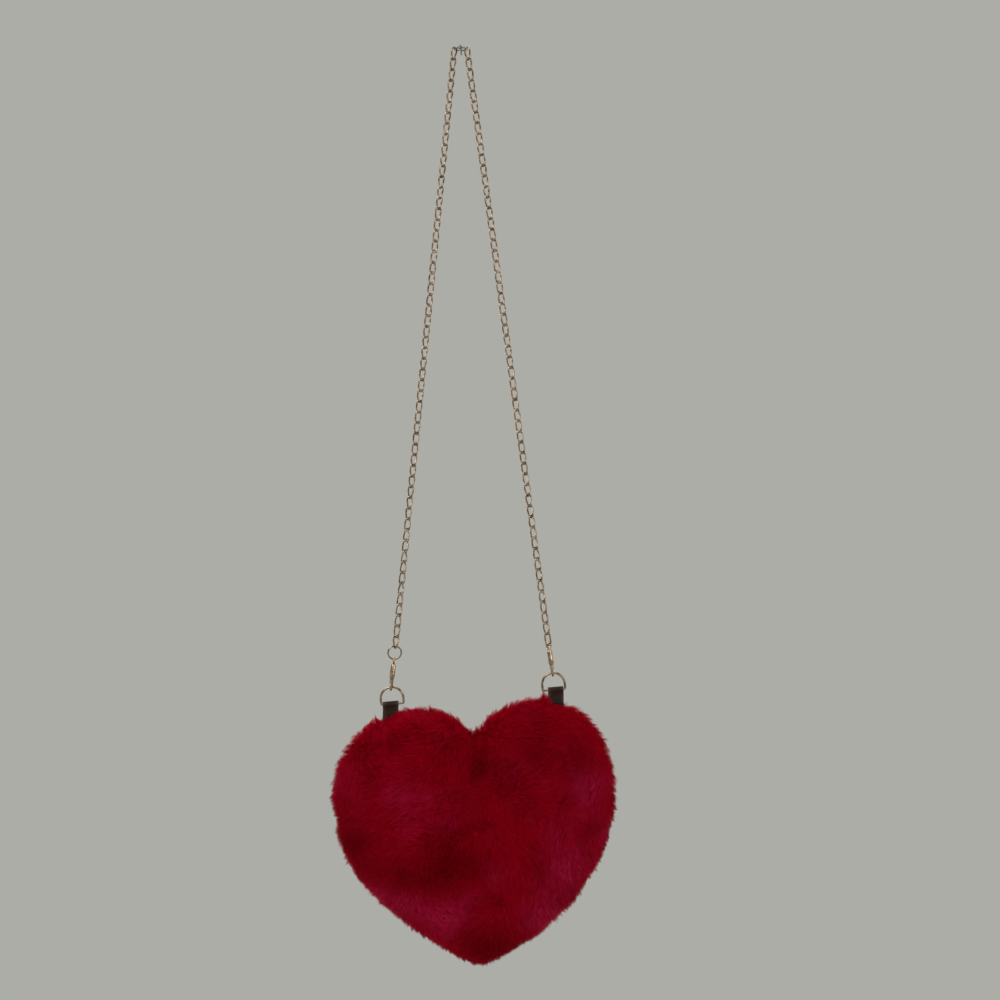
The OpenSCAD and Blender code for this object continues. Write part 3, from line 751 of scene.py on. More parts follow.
def cut_slot(piece, margin):
    """Cuts the zip's slot, from inside the pocket outward, through a shell of the back."""
    sizes = bpy.context.scene.purse_sizes
    half_x, half_z = sizes.slot_length / 2 + margin, sizes.zip_slot / 2 + margin
    middle = heart_middle() + sizes.zip_rise
    corners = [
        (-x * half_x, y, middle - z * half_z)
        for y in (4 * MM, sizes.back_depth + 10 * MM) for x, z in CORNERS
    ]
    faces = [(0, 1, 2, 3), (7, 6, 5, 4), (0, 4, 5, 1), (1, 5, 6, 2), (2, 6, 7, 3), (3, 7, 4, 0)]
    material = piece.data.materials[0]
    cutter = placed("slot_cutter", mesh_of("slot_cutter", corners, faces, material))
    cut = piece.modifiers.new("slot", "BOOLEAN")
    cut.object, cut.operation, cut.solver = cutter, "DIFFERENCE", "MANIFOLD"
    cut_piece = piece.evaluated_get(bpy.context.evaluated_depsgraph_get())
    made = bpy.data.meshes.new_from_object(cut_piece)
    piece.modifiers.clear()
    piece.data = made
    bpy.data.objects.remove(cutter)


# Swells between the soft creases of the fur: X and Z from the heart's middle, radius, height
SWELLS = {
    FRONT: (
        (-58, 34, 46, 0.9), (66, 38, 40, 0.8), (-78, -18, 38, 0.7), (84, -22, 36, 0.9),
        (-32, -62, 36, 0.8), (42, -68, 34, 0.9), (4, -100, 28, 0.6), (12, -14, 26, 0.6),
    ),
    BACK: (
        (-62, 30, 42, 0.6), (60, 30, 42, 0.6), (0, -60, 50, 0.8), (-60, -20, 36, 0.6),
        (62, -24, 36, 0.6),
    ),
}
SWELL_SEED = 301


def swell(points, facing):
    """How far the fur cloth stands out at points about the heart's middle."""
    sizes = bpy.context.scene.purse_sizes
    rise = 0.25 + 0.22 * ripples(points, 0.05, SWELL_SEED + facing)
    rise = rise + 0.75 * spots(points, SWELLS[facing], 1.6)
    outline = drawn_in(heart_outline(), sizes.cloth_inset)
    rim = dome_height(points, outline, 1.0, facing)
    return sizes.plump * np.clip(rise, 0, 1.3) * np.clip(rim * 1.3, 0, 1)


# Insets of the outline and of the depth under the pressed pile
PADDING_INSETS, LINING_INSETS = (6.7 * MM, 6.4 * MM), (12.2 * MM, 11.5 * MM)
# Height and seed of the lumps
PADDING_LUMPS, LINING_LUMPS = (0.12 * MM, 41), (-0.3 * MM, 51)
PADDING_RIM = 2.6 * MM
PADDING_SLOT_MARGIN = 0.7 * MM


def layer_mesh(facing, insets, thickness, rim, lumps):
    """Points and faces of one layer of one half, lumpy by a height and a seed, or swelling."""
    outline, depth = heart_outline(), dome_depth(facing) - insets[1]
    outer = dome_points(drawn_in(outline, insets[0]), depth, facing, rim=rim)
    inside = drawn_in(outline, insets[0] + thickness)
    inner = dome_points(inside, depth - thickness, facing, rim=rim)
    move = np.zeros_like(outer)
    if lumps is None:
        move[:, 1] = facing * swell(outer, facing)
    else:
        height, seed = lumps
        lift = ripples(outer, 0.055, seed) + 0.5 * ripples(outer, 0.024, seed + 1) - 0.6
        inward = 1 - np.clip(np.abs(outer[:, 1]) / depth, 0, 1)
        move[:, 1] = facing * lift * height * np.clip(1 - inward**3, 0, 1)
    points, faces = shell(outer + move, inner + move, len(outline), DOME_RINGS, facing)
    points[:, 2] += heart_middle()
    return points, faces


def make_layers(
    layer, node, material, insets, thickness, rim=0.0, lumps=None, margin=0.0
):
    """Makes one layer of both halves of the heart, the back one slotted for the zip."""
    pieces = []
    for facing, name in HALVES:
        points, faces = layer_mesh(facing, insets, thickness, rim, lumps)
        piece = piece_of(
            f"{name}_{layer}", points, faces, "bag", material, [f"{name}_{node}"]
        )
        if facing == BACK:
            cut_slot(piece, margin)
        pieces.append(piece)
    return pieces


class PURSE_OT_fur_cloth(bpy.types.Operator):
    """Makes the fur's cloth, puffed out over the padding, front and back"""

    bl_idname = "purse.fur_cloth"
    bl_label = "Fur cloth"

    def execute(self, context):
        sizes = context.scene.purse_sizes
        cloth = cloth_finish(context.scene.purse_colours)
        insets = (sizes.cloth_inset, sizes.cloth_inset)
        for piece in make_layers(
            "fur_cloth", "panel", cloth, insets, sizes.cloth_thickness
        ):
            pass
        return {"FINISHED"}


class PURSE_OT_padding(bpy.types.Operator):
    """Makes the foam padding of each half"""

    bl_idname = "purse.padding"
    bl_label = "Foam padding"

    def execute(self, context):
        sizes = context.scene.purse_sizes
        foam = foam_finish(context.scene.purse_colours)
        for piece in make_layers(
            "foam", "padding", foam, PADDING_INSETS, sizes.padding_thickness,
            rim=PADDING_RIM, lumps=PADDING_LUMPS, margin=PADDING_SLOT_MARGIN,
        ):
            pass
        return {"FINISHED"}


class PURSE_OT_lining(bpy.types.Operator):
    """Makes the satin lining of the pocket, slightly gathered"""

    bl_idname = "purse.lining"
    bl_label = "Lining"

    def execute(self, context):
        sizes = context.scene.purse_sizes
        satin = woven_finish("satin_lining", context.scene.purse_colours.lining, 900, 0.32)
        make_layers(
            "pocket_lining", "lining", satin, LINING_INSETS,
            sizes.lining_thickness, lumps=LINING_LUMPS,
        )
        return {"FINISHED"}


SEAM_INSETS = (7.7 * MM, 8.3 * MM)
SEAM_HALF = 2.1 * MM
SEAM_GAP = 2.4 * MM
SEAM_CURL = 0.12 * MM


class PURSE_OT_seam(bpy.types.Operator):
    """Makes the tape sewn round the seam, open where the tabs pass"""

    bl_idname = "purse.seam"
    bl_label = "Seam tape"

    def execute(self, context):
        sizes = context.scene.purse_sizes
        tape = woven_finish("seam_tape", context.scene.purse_colours.tape, 700, 0.75)
        outer, inner = (drawn_in(heart_outline(), inset) for inset in SEAM_INSETS)
        free = np.ones(len(outer), bool)
        for _, name in SIDES:
            beside = np.abs(outer[:, 0] - bar_frame(name)[0][0])
            free &= (beside >= sizes.tab_width / 2 + SEAM_GAP) | (outer[:, 1] <= 0)
        start, middle = int(np.argmin(free)), heart_middle()
        points, faces, run = [], [], []
        for i in range(start, start + len(outer) + 1):
            i %= len(outer)
            if free[i]:
                curl = SEAM_HALF + SEAM_CURL * math.sin(i * 1.7)
                edges = ((outer, curl), (outer, -SEAM_HALF), (inner, -SEAM_HALF), (inner, curl))
                run.append([(line[i, 0], y, line[i, 1] + middle) for line, y in edges])
                continue
            if len(run) > 1:
                add_tube(points, faces, run)
            run = []
        piece_of(
            "seam_binding", points, faces, "bag", tape, ["seam_tape"], smooth=False
        )
        return {"FINISHED"}


# The pile

# How high each of a strand's points is along it, and how thick it is there
STRAND_STEPS = (0.0, 1 / 3, 2 / 3, 1.0)
STRAND_TAPER = (1.0, 0.86, 0.55)
STRAND_POINTS = 10
STRANDS_PER_PIECE = 12400
PILE_SEED = 600
STRAND_FOOT = 0.3 * MM
# Length: its least share, what chance adds, and what the rim takes away
LEAST_LENGTH, CHANCE_LENGTH, RIM_SHORTENING = 0.76, 0.34, 0.26
# Lean: its waves, its scatter, how far the rim's pile stands up, and its limits
LEAN_WAVE, LEAN_SCATTER, RIM_LIFT = np.radians(7), np.radians(9), np.radians(30)
LEAN_LIMITS = np.radians(8), np.radians(78)
# Strengths of flow under which the pile scatters, and stands up
SCATTERED_FLOW, RISING_FLOW = 0.55, 0.42
# Room that the pile leaves beside a tab, at its faces and below it, and how far below a tab
# it stays short
TAB_ROOM = (1.0 * MM, 2.2 * MM, 3 * MM)
TAB_SHORT = 8 * MM
# Room round the zip's slot, and how far from it the pile is combed away
ZIP_ROOM, ZIP_PARTING = 0.8 * MM, 9 * MM
# Tufts that the pile draws into: their spacing, their pull all over and along the rim, and
# how far they reach out there
WISPS = ((1.6 * MM, 0.35, 0.2, 0.0), (3.2 * MM, 0.12, 0.66, 5.2 * MM), (9.0 * MM, 0.1, 0.0, 0.0))
# Places where the pile is shorter or longer, as X and Z from the heart's middle, radius and share:
# short in the cleft, notched and bulging on the left side
RIM_WAVES = (
    (0, 84, 13, -0.45), (-128, 8, 7, -0.4), (-128, 30, 14, 0.3), (-127, -14, 9, 0.2),
    (-84, -88, 24, -0.25), (-34, -122, 24, -0.4), (36, -122, 22, -0.4), (112, -50, 30, -0.35),
)
# Patches of the front's pile as X and Z from the heart's middle, radius and strength:
# painted shade in folds, and painted sheen where the pile is combed flat, which looks pinker
PAINTED_HOLLOW_SHADES = (
    (-10, -20, 22, 0.65), (-36, -30, 26, 0.7), (-66, -34, 16, 0.5), (-93, -32, 16, 0.45),
    (-109, -8, 20, 0.9), (55, 88, 18, 0.45), (51, 64, 16, 0.5), (12, 61, 18, 1.0),
    (86, 66, 21, 0.5), (42, 26, 17, 0.45), (52, -30, 13, 0.35), (-70, 78, 13, 0.6),
    (22, -108, 24, 0.55), (3, -98, 18, 0.7), (36, -118, 16, 0.25), (108, 4, 14, 0.3),
    (84, -68, 14, 0.3), (-42, 90, 20, 0.3), (4, -62, 12, 0.25), (6, 10, 22, 0.25),
)
COMBED_SHEEN = (
    (82, -32, 25, 1.0), (102, 40, 22, 0.95), (-32, -76, 23, 1.0), (62, -76, 25, 1.0),
    (-88, -60, 17, 0.85), (-8, -66, 14, 0.6), (-61, -63, 18, 0.85), (-58, 36, 18, 0.5),
    (-32, 32, 16, 0.35), (-50, 6, 16, 0.35), (-22, 4, 14, 0.3), (18, -34, 13, 0.5),
    (74, 4, 16, 0.4), (118, -6, 16, 0.5), (-112, 46, 22, 0.3), (34, 54, 9, 0.4),
)
# Pointed tufts that stand up beside the tabs: side, X and Z of the tip from the ring's bar
TUFTS = (("right", -13.0, 0.5), ("left", -14.2, -8.0), ("left", -19.5, -15.5))
# Y of their tips, the X and Y within which they take in pile, their lowest root and radius
TUFT_Y, TUFT_TAKEN, TUFT_LOWEST, TUFT_RADIUS = -1.5 * MM, (6 * MM, 9 * MM), 55 * MM, 7 * MM


def bulk_mesh(name, points, corners, starts, marks, material):
    """A large mesh from flat arrays."""
    mesh = bpy.data.meshes.new(name)
    mesh.vertices.add(len(points))
    mesh.vertices.foreach_set("co", points.astype(np.float32).ravel())
    mesh.loops.add(len(corners))
    mesh.loops.foreach_set("vertex_index", corners.astype(np.int32))
    mesh.polygons.add(len(starts))
    mesh.polygons.foreach_set("loop_start", starts.astype(np.int32))
    mesh.polygons.foreach_set("use_smooth", np.ones(len(starts), bool))
    mark_points(mesh, marks)
    mesh.update(calc_edges=True)
    mesh.materials.append(material)
    return mesh


def strand_tubes(curves, widths, phase):
    """Three-sided tapering tubes along curves, closed at the foot, as flat arrays."""
    count = np.arange(len(curves))[:, None]
    along = unit(np.gradient(curves, axis=1))
    away = unit(np.cross(along, np.array([0.31, 0.89, 0.33])))
    over = np.cross(along, away)
    rings = []
    for r, taper in enumerate(STRAND_TAPER):
        for k in range(3):
            a = phase + 2 * math.pi * k / 3
            way = away[:, r] * np.cos(a)[:, None] + over[:, r] * np.sin(a)[:, None]
            rings.append(curves[:, r] + way * (widths * taper / 2)[:, None])
    points = np.stack([*rings, curves[:, 3]], 1).reshape(-1, 3)
    faces = [(2, 1, 0)] + lathe_faces(3, 3) + [(6 + k, 6 + (k + 1) % 3, 9) for k in range(3)]
    flat = np.concatenate([np.array(face) for face in faces])
    begin = np.cumsum([0] + [len(face) for face in faces[:-1]])
    corners = (flat + STRAND_POINTS * count).ravel()
    return points, corners, (begin + len(flat) * count).ravel()


def nearest(points, guides):
    """Index of the guide nearest to each point."""
    tree = kdtree.KDTree(len(guides))
    for i, g in enumerate(guides):
        tree.insert(g, i)
    tree.balance()
    return np.array([tree.find(p)[1] for p in points])


def level(vectors, normal):
    """The part of the vectors that lies along the cloth."""
    return vectors - normal * (vectors * normal).sum(1)[:, None]


def pile_roots(facing, count, draw):
    """Roots spread evenly over one half's fur cloth, the way outward there, and its area."""
    sizes = bpy.context.scene.purse_sizes
    outline = drawn_in(heart_outline(), sizes.cloth_inset)
    grid = dome_points(outline, dome_depth(facing) - sizes.cloth_inset, facing, PILE_RINGS)
    grid[:, 1] += facing * swell(grid, facing)
    faces = np.array([
        (f[0], f[k], f[k + 1])
        for f in dome_faces(len(outline), PILE_RINGS, 0, facing == FRONT)
        for k in range(1, len(f) - 1)
    ])
    a, b, c = (grid[faces[:, k]] for k in range(3))
    cross = np.cross(b - a, c - a)
    area = np.linalg.norm(cross, axis=1) / 2
    outward = np.zeros_like(grid)
    for k in range(3):
        np.add.at(outward, faces[:, k], cross)
    outward = unit(outward)
    pick = draw.choice(len(faces), count, p=area / area.sum())
    u, v = draw.random(count), draw.random(count)
    over = u + v > 1
    u[over], v[over] = 1 - u[over], 1 - v[over]
    shares = np.stack([1 - u - v, u, v], 1)[:, :, None]
    roots = (grid[faces[pick]] * shares).sum(1)
    return roots, unit((outward[faces[pick]] * shares).sum(1)), area.sum()


def comb_pile(roots, normal, rim, seed, draw):
    """The way the pile is combed at its roots, and how firmly it flows there."""
    swirl = np.zeros_like(roots)
    for wavelength, share, turn in ((0.10, 0.75, 5), (0.04, 0.4, 7)):
        swirl[:, 0] += share * ripples(roots, wavelength, seed + turn)
        swirl[:, 2] += share * ripples(roots, wavelength, seed + turn + 1)
    comb = unit(roots * [1, 0, 1]) * (0.45 + 0.9 * rim)[:, None] + np.array([0, 0, -0.5])
    comb = level(comb + swirl * (0.8 - 0.5 * rim)[:, None], normal)
    flow = np.linalg.norm(comb, axis=1)
    # Where the flow parts, the pile lies every way and stands up a little, and hides its cloth
    scatter = draw.normal(0, 0.6, roots.shape) * np.clip(1 - flow / SCATTERED_FLOW, 0.2, 1)[:, None]
    return unit(level(comb + scatter, normal)), flow


def pile_lengths(roots, edge, seed, draw):
    """Length of each strand: uneven, and shorter along the rim."""
    length = LEAST_LENGTH + CHANCE_LENGTH * draw.random(len(roots))
    length *= bpy.context.scene.purse_sizes.pile_length
    wave = 0.08 * ripples(roots, 0.034, seed + 10) + 0.08 * ripples(roots, 0.010, seed + 11)
    length *= (1 + wave) * (1 - RIM_SHORTENING * edge)
    for place in RIM_WAVES:
        length *= 1 + spots(roots, [place], 1.0)
    return length


def pile_curves(facing, count, seed):
    """Curves of the pile of one half: four points each, from root to end."""
    sizes = bpy.context.scene.purse_sizes
    draw = np.random.default_rng(seed)
    roots, normal, area = pile_roots(facing, count, draw)
    rim = 1 - np.clip(np.abs(normal[:, 1]), 0, 1)
    edge = np.clip(rim * 1.7 - 0.7, 0, 1)
    comb, flow = comb_pile(roots, normal, rim, seed, draw)
    lean = sizes.pile_lean + LEAN_WAVE * ripples(roots, 0.03, seed + 9)
    lean += draw.normal(0, LEAN_SCATTER, count) - RIM_LIFT * edge
    lean = np.clip(lean * np.clip(flow / RISING_FLOW, 0.85, 1), *LEAN_LIMITS)
    length = pile_lengths(roots, edge, seed, draw)
    keep, comb, lean, length = trim_pile(roots, normal, comb, lean, length, facing)

    wander = draw.normal(0, 1, (count, 3)) * (0.05 + 0.05 * edge[:, None])
    curves = np.zeros((count, len(STRAND_STEPS), 3))
    for i, s in enumerate(STRAND_STEPS):
        upright = np.cos(lean) * s * (1.15 - 0.35 * s)
        flat = np.sin(lean) * s * (0.80 + 0.32 * s)
        way = normal * upright[:, None] + comb * flat[:, None] + wander * s * s
        curves[:, i] = roots + way * length[:, None]
    # The foot goes down into the cloth
    curves[:, 0] -= normal * STRAND_FOOT
    wisp = draw_together(curves, roots, normal, edge, area, seed, draw)
    raise_tufts(curves, roots)
    # Marks for the finish: painted sheen on the combed patches, in streaks of single wisps, and
    # painted shade in folds
    marks = {
        "tint": draw.random(count), "phase": draw.random(count) * 2 * math.pi,
        "combed": patches(roots, facing, COMBED_SHEEN, seed + 31) * (0.2 + 0.8 * wisp**2),
        "painted_hollow_shade": patches(roots, facing, PAINTED_HOLLOW_SHADES, seed + 32),
    }
    curves[:, :, 2] += heart_middle()
    return curves[keep], {name: values[keep] for name, values in marks.items()}


def draw_together(curves, roots, normal, edge, area, seed, draw):
    """Draws the pile into fine wisps and pointed tufts; returns a chance number for each wisp."""
    wisp = None
    for spacing, pull, rim_pull, rim_reach in WISPS:
        guides = draw.choice(len(roots), max(int(area / spacing**2), 3), replace=False)
        pick = nearest(roots, roots[guides])
        index = guides[pick]
        if wisp is None:
            wisp = draw.random(len(guides))[pick]
        share = pull * (1 + 0.5 * ripples(roots, 0.04, seed + 21)) + rim_pull * edge
        share = np.clip(share, 0.02, 0.8)
        reach = draw.random(len(guides))[pick] ** 1.7 * edge * rim_reach
        for i, s in enumerate(STRAND_STEPS):
            curves[:, i] += (curves[index, i] - curves[:, i]) * (share * s**1.6)[:, None]
            curves[:, i] += normal * (reach * s)[:, None]
    return wisp


def patches(roots, facing, places, seed):
    """Strength of the patches at roots about the heart's middle; the back has its own few."""
    if facing == BACK:
        return np.clip(0.12 + 0.35 * ripples(roots, 0.06, seed), 0, 0.45)
    total = 0.12 * np.clip(ripples(roots, 0.03, seed), 0, 1)
    return np.clip(total + spots(roots, places, 1.4), 0, 1)


def raise_tufts(curves, roots):
    """Draws the pile near the tabs together into pointed tufts."""
    for side, x, z in TUFTS:
        bar = bar_frame(side)[0]
        tip = np.array([bar[0] + x * MM, TUFT_Y, bar[2] - heart_middle() + z * MM])
        near = np.abs(roots[:, 0] - tip[0]) < TUFT_TAKEN[0]
        near &= (np.abs(roots[:, 1]) < TUFT_TAKEN[1]) & (roots[:, 2] > TUFT_LOWEST)
        far = np.hypot(roots[near, 0] - tip[0], roots[near, 1]) / TUFT_RADIUS
        share = np.clip(1.1 - far, 0, 1) ** 0.6
        for i, s in enumerate(STRAND_STEPS):
            goal = roots[near] + (tip - roots[near]) * s
            curves[near, i] += (goal - curves[near, i]) * (share * s)[:, None]


def trim_pile(roots, normal, comb, lean, length, facing):
    """Keeps the pile out of the tabs' way and off the zip."""
    sizes = bpy.context.scene.purse_sizes
    keep = np.ones(len(roots), bool)
    for _, name in SIDES:
        bar, along, up = bar_frame(name)
        local = roots + [0, 0, heart_middle()] - bar
        beside = np.abs(local @ along) < sizes.tab_width / 2 + TAB_ROOM[0]
        below = -local @ up - sizes.tab_length
        keep &= ~(beside & (np.abs(roots[:, 1]) < TAB_ROOM[1]) & (below < TAB_ROOM[2]))
        length = np.where(beside & (below < TAB_SHORT), length * 0.72, length)
    if facing == BACK:
        x, z = roots[:, 0], roots[:, 2] - sizes.zip_rise
        past_x = np.abs(x) - sizes.slot_length / 2
        past_z = np.abs(z) - sizes.zip_slot / 2
        keep &= ~((past_x < ZIP_ROOM) & (past_z < ZIP_ROOM))
        gap_x, gap_z = np.maximum(past_x, 0), np.maximum(past_z, 0)
        close = np.clip(1 - np.hypot(gap_x, gap_z) / ZIP_PARTING, 0, 1) * (roots[:, 1] > 5 * MM)
        away = level(unit(np.stack([np.sign(x) * gap_x, 0 * x, np.sign(z) * gap_z], 1)), normal)
        comb = unit(comb * (1 - close)[:, None] + away * (1.6 * close)[:, None])
        length = length * (1 - 0.35 * close)
        lean = lean + np.radians(10) * close
    return keep, comb, lean, length


class PURSE_OT_pile(bpy.types.Operator):
    """Grows the pile of the fur in tufts, front and back"""

    bl_idname = "purse.pile"
    bl_label = "Fur pile"

    def execute(self, context):
        sizes = context.scene.purse_sizes
        finish = pile_finish(context.scene.purse_colours)
        height = np.append(np.repeat(STRAND_STEPS[:3], 3), 1.0)
        for facing, name in HALVES:
            count = sizes.front_strands if facing == FRONT else sizes.back_strands
            curves, marks = pile_curves(facing, count, PILE_SEED + facing)
            order = np.argsort(np.arctan2(curves[:, 0, 0], curves[:, 0, 2] - heart_middle()))
            parts = np.array_split(order, math.ceil(len(order) / STRANDS_PER_PIECE))
            for i, part in enumerate(parts):
                own = {mark: values[part] for mark, values in marks.items()}
                widths = sizes.pile_width * (0.75 + 0.5 * own["tint"])
                widths *= 1
                points, corners, starts = strand_tubes(curves[part], widths, own["phase"])
                mesh = bulk_mesh(f"{name}_pile_{i + 1}", points, corners, starts, {
                    "pile_height": np.tile(height, len(part)),
                    "strand_tint": np.repeat(own["tint"], STRAND_POINTS),
                    "combed": np.repeat(own["combed"], STRAND_POINTS),
                    "painted_hollow_shade": np.repeat(own["painted_hollow_shade"], STRAND_POINTS),
                }, finish)
                riding(f"{name}_pile_{i + 1}", mesh, "bag")
        return {"FINISHED"}


# The zip

# Edges of a tape from the zip's middle line, and its rounding
TAPE_INNER, TAPE_OUTER, TAPE_ROUND = 2.7 * MM, 9.9 * MM, 0.3 * MM
STITCH_HALF, STITCH_RADIUS, STITCH_PITCH = 1.05 * MM, 0.2 * MM, 2.9 * MM
STITCH_ROWS = ((-1, 0.45), (-0.75, 0.9), (0, 1.0), (0.75, 0.9), (1, 0.45))
STITCH_AROUND = 6
# Distance of the stitches in from a tape's outer edge, and edges of its rib from the inner one
STITCH_INSET, RIB_EDGES = 1.5 * MM, (1.1 * MM, 1.9 * MM)
RIB_SPAN, RIB_ROUND = (-0.3 * MM, 0.18 * MM), 0.2 * MM


def add_bar(points, faces, x, y, z, round_off=TAPE_ROUND):
    """Adds a bar with rounded edges along X, between two values each of X, Y and Z."""
    ring = []
    for corner, (over, up) in enumerate(CORNERS):
        at_y = y[1] - round_off if over > 0 else y[0] + round_off
        at_z = z[1] - round_off if up > 0 else z[0] + round_off
        ring += [
            (at_y + round_off * c, at_z + round_off * s) for c, s in corner_arc(corner, 3)
        ]
    columns = max(int((x[1] - x[0]) / (2 * MM)), 1)
    places = [x[0] + (x[1] - x[0]) * i / columns for i in range(columns + 1)]
    add_tube(points, faces, [[(place, *p) for p in ring] for place in places])


def add_stitch(points, faces, x, y, z):
    """Adds one stitch of thread along X, rounded at its ends."""
    turns = [2 * math.pi * k / STITCH_AROUND for k in range(STITCH_AROUND)]
    rings = []
    for at, wide in STITCH_ROWS:
        lift, radius = STITCH_RADIUS * (0.55 - abs(at) * 0.75), STITCH_RADIUS * wide
        rings.append([
            (x + at * STITCH_HALF, y + lift + radius * math.cos(a), z + radius * math.sin(a))
            for a in turns
        ])
    add_tube(points, faces, rings)


class PURSE_OT_zip(bpy.types.Operator):
    """Makes the zip's tapes with their stitches and facing, and finishes its metal"""

    bl_idname = "purse.zip"
    bl_label = "Zip"

    def execute(self, context):
        sizes, colours = context.scene.purse_sizes, context.scene.purse_colours
        tape = woven_finish("zip_tape", colours.tape, 620, 0.7)
        facing = woven_finish("zip_facing", colours.tape, 420, 0.65)
        metal = metal_finish("zip_metal", colours.chain, 0.24, 0.3)
        middle = heart_middle() + sizes.zip_rise
        for up, name in ((1, "upper"), (-1, "lower")):
            points, faces = self.long_tape(sizes, middle, up)
            piece_of(
                f"woven_tape_{name}", points, faces, f"mouth_{name}", tape,
                [f"zip_tape_{name}"],
            )
        points, faces = self.tape_ends(sizes, middle)
        piece_of(
            "woven_tape_ends", points, faces, "bag", tape, ["zip_tape_ends"]
        )
        points, faces = self.slot_facing(sizes, middle)
        piece_of("zip_slot_facing", points, faces, "bag", facing)
        for node in ("zip_teeth_upper", "zip_teeth_lower", "zip_stops", "zip_slider", "zip_pull"):
            dress(node, metal)
        return {"FINISHED"}

    def long_tape(self, sizes, middle, up):
        """One tape beside the teeth, with a woven rib and a row of stitches."""
        points, faces = [], []
        face, half = sizes.zip_level, sizes.zip_length / 2
        span = sorted((middle + up * TAPE_INNER, middle + up * TAPE_OUTER))
        add_bar(points, faces, (-half, half), (face - sizes.tape_thickness, face), span)
        rib = sorted(middle + up * (TAPE_INNER + edge) for edge in RIB_EDGES)
        add_bar(points, faces, (-half, half), [face + y for y in RIB_SPAN], rib, RIB_ROUND)
        for i in range(int(sizes.zip_length / STITCH_PITCH)):
            x = -half + (i + 0.5) * STITCH_PITCH
            add_stitch(points, faces, x, face, middle + up * (TAPE_OUTER - STITCH_INSET))
        return points, faces

    def tape_ends(self, sizes, middle):
        """The four short ends of tape past the teeth, each with four stitches."""
        points, faces = [], []
        face = sizes.zip_level
        reach = (sizes.zip_length / 2 + 0.4 * MM, sizes.slot_length / 2 - 0.4 * MM)
        for end in (-1, 1):
            for up in (-1, 1):
                x = sorted(end * far for far in reach)
                z = sorted((middle + up * 0.8 * MM, middle + up * TAPE_OUTER))
                add_bar(points, faces, x, (face - sizes.tape_thickness, face), z)
                for i in range(4):
                    at = x[0] + (i + 0.5) * (x[1] - x[0]) / 4
                    add_stitch(points, faces, at, face, middle + up * (TAPE_OUTER - STITCH_INSET))
        return points, faces

    def slot_facing(self, sizes, middle):
        """The folded strip that binds the slot, from under the pile down to the tape."""
        outline = drawn_in(heart_outline(), sizes.cloth_inset)
        depth = sizes.back_depth - sizes.cloth_inset
        half_x, half_z = sizes.slot_length / 2 - 0.12 * MM, sizes.zip_slot / 2 - 0.14 * MM
        corner, foot, beyond = 1.2 * MM, 15.4 * MM, 2 * MM
        path = []
        for q, (side, up) in enumerate(CORNERS):
            cx, cz = side * (half_x - corner), up * (half_z - corner)
            path += [(cx + corner * c, cz + corner * s, c, s) for c, s in corner_arc(q, 4)]
            if q % 2 == 0:
                path += [
                    (cx * (1 - 2 * t), up * half_z, 0.0, float(up))
                    for t in np.linspace(0.02, 0.98, 40)
                ]
        points = []
        for x, z, nx, nz in path:
            beside = np.array([[x + nx * beyond, 0.0, z + sizes.zip_rise + nz * beyond]])
            level_there = float(dome_height(beside, outline, depth, BACK)[0])
            level_there += float(swell(beside, BACK)[0])
            # Distance out from the slot's edge, and height over the cloth
            rim = ((0, -0.1), (0.25, 0.25), (0.7, 0.4), (2.4, 0.1), (2.4, -0.7), (0.7, -0.6))
            profile = [(0.0, foot), *((o * MM, level_there + y * MM) for o, y in rim)]
            profile.append((0.55 * MM, foot))
            points += [(x + nx * o, y, middle + z + nz * o) for o, y in profile]
        faces = [face[::-1] for face in lathe_faces(len(path), 8, True)]
        return points, faces


# The stage

# Name, place, size and power of each lamp
LAMPS = (
    ("key_light", (-0.9, -1.5, 0.7), 1.3, 17.0),
    ("fill_light", (1.5, -1.3, -0.2), 1.2, 6.0),
    ("top_light", (0.3, 0.6, 1.1), 1.0, 7.0),
    ("back_light", (-0.8, 1.7, -0.1), 1.4, 9.0),
)
LIT_POINT = Vector((0.02, 0, -0.5))
SKY_COLOUR, SKY_STRENGTH = (0.92, 0.94, 1.0), 0.42
CAMERA_X, CAMERA_Z, CAMERA_ROLL = 29.0 * MM, -423.9 * MM, math.radians(-1.08)
SENSOR = 36
FLOOR_Z = -1.35
FLOOR_RINGS, FLOOR_AROUND = (0.4, 0.8, 1.2, 2.0, 4.0), 64
# Distances from the origin between which the floor fades into the backdrop
FLOOR_FADE = (1.40, 1.55)
# Under the soft lamps a floor paler than the backdrop by these shares looks like it
FLOOR_SHARES = (1.28, 1.275, 1.225)
# Radius and Y of the nail's turned profile, in mm, and how far its middle is below the link
PEG_PROFILE = (
    (0.0, -6.9), (1.0, -6.85), (1.7, -6.6), (1.9, -6.3), (1.75, -6.0), (1.05, -5.8),
    (1.0, -5.5), (1.0, 4.0), (0.9, 5.5), (0.5, 8.0), (0.0, 9.5),
)
PEG_AROUND, PEG_DROP = 28, 1.0


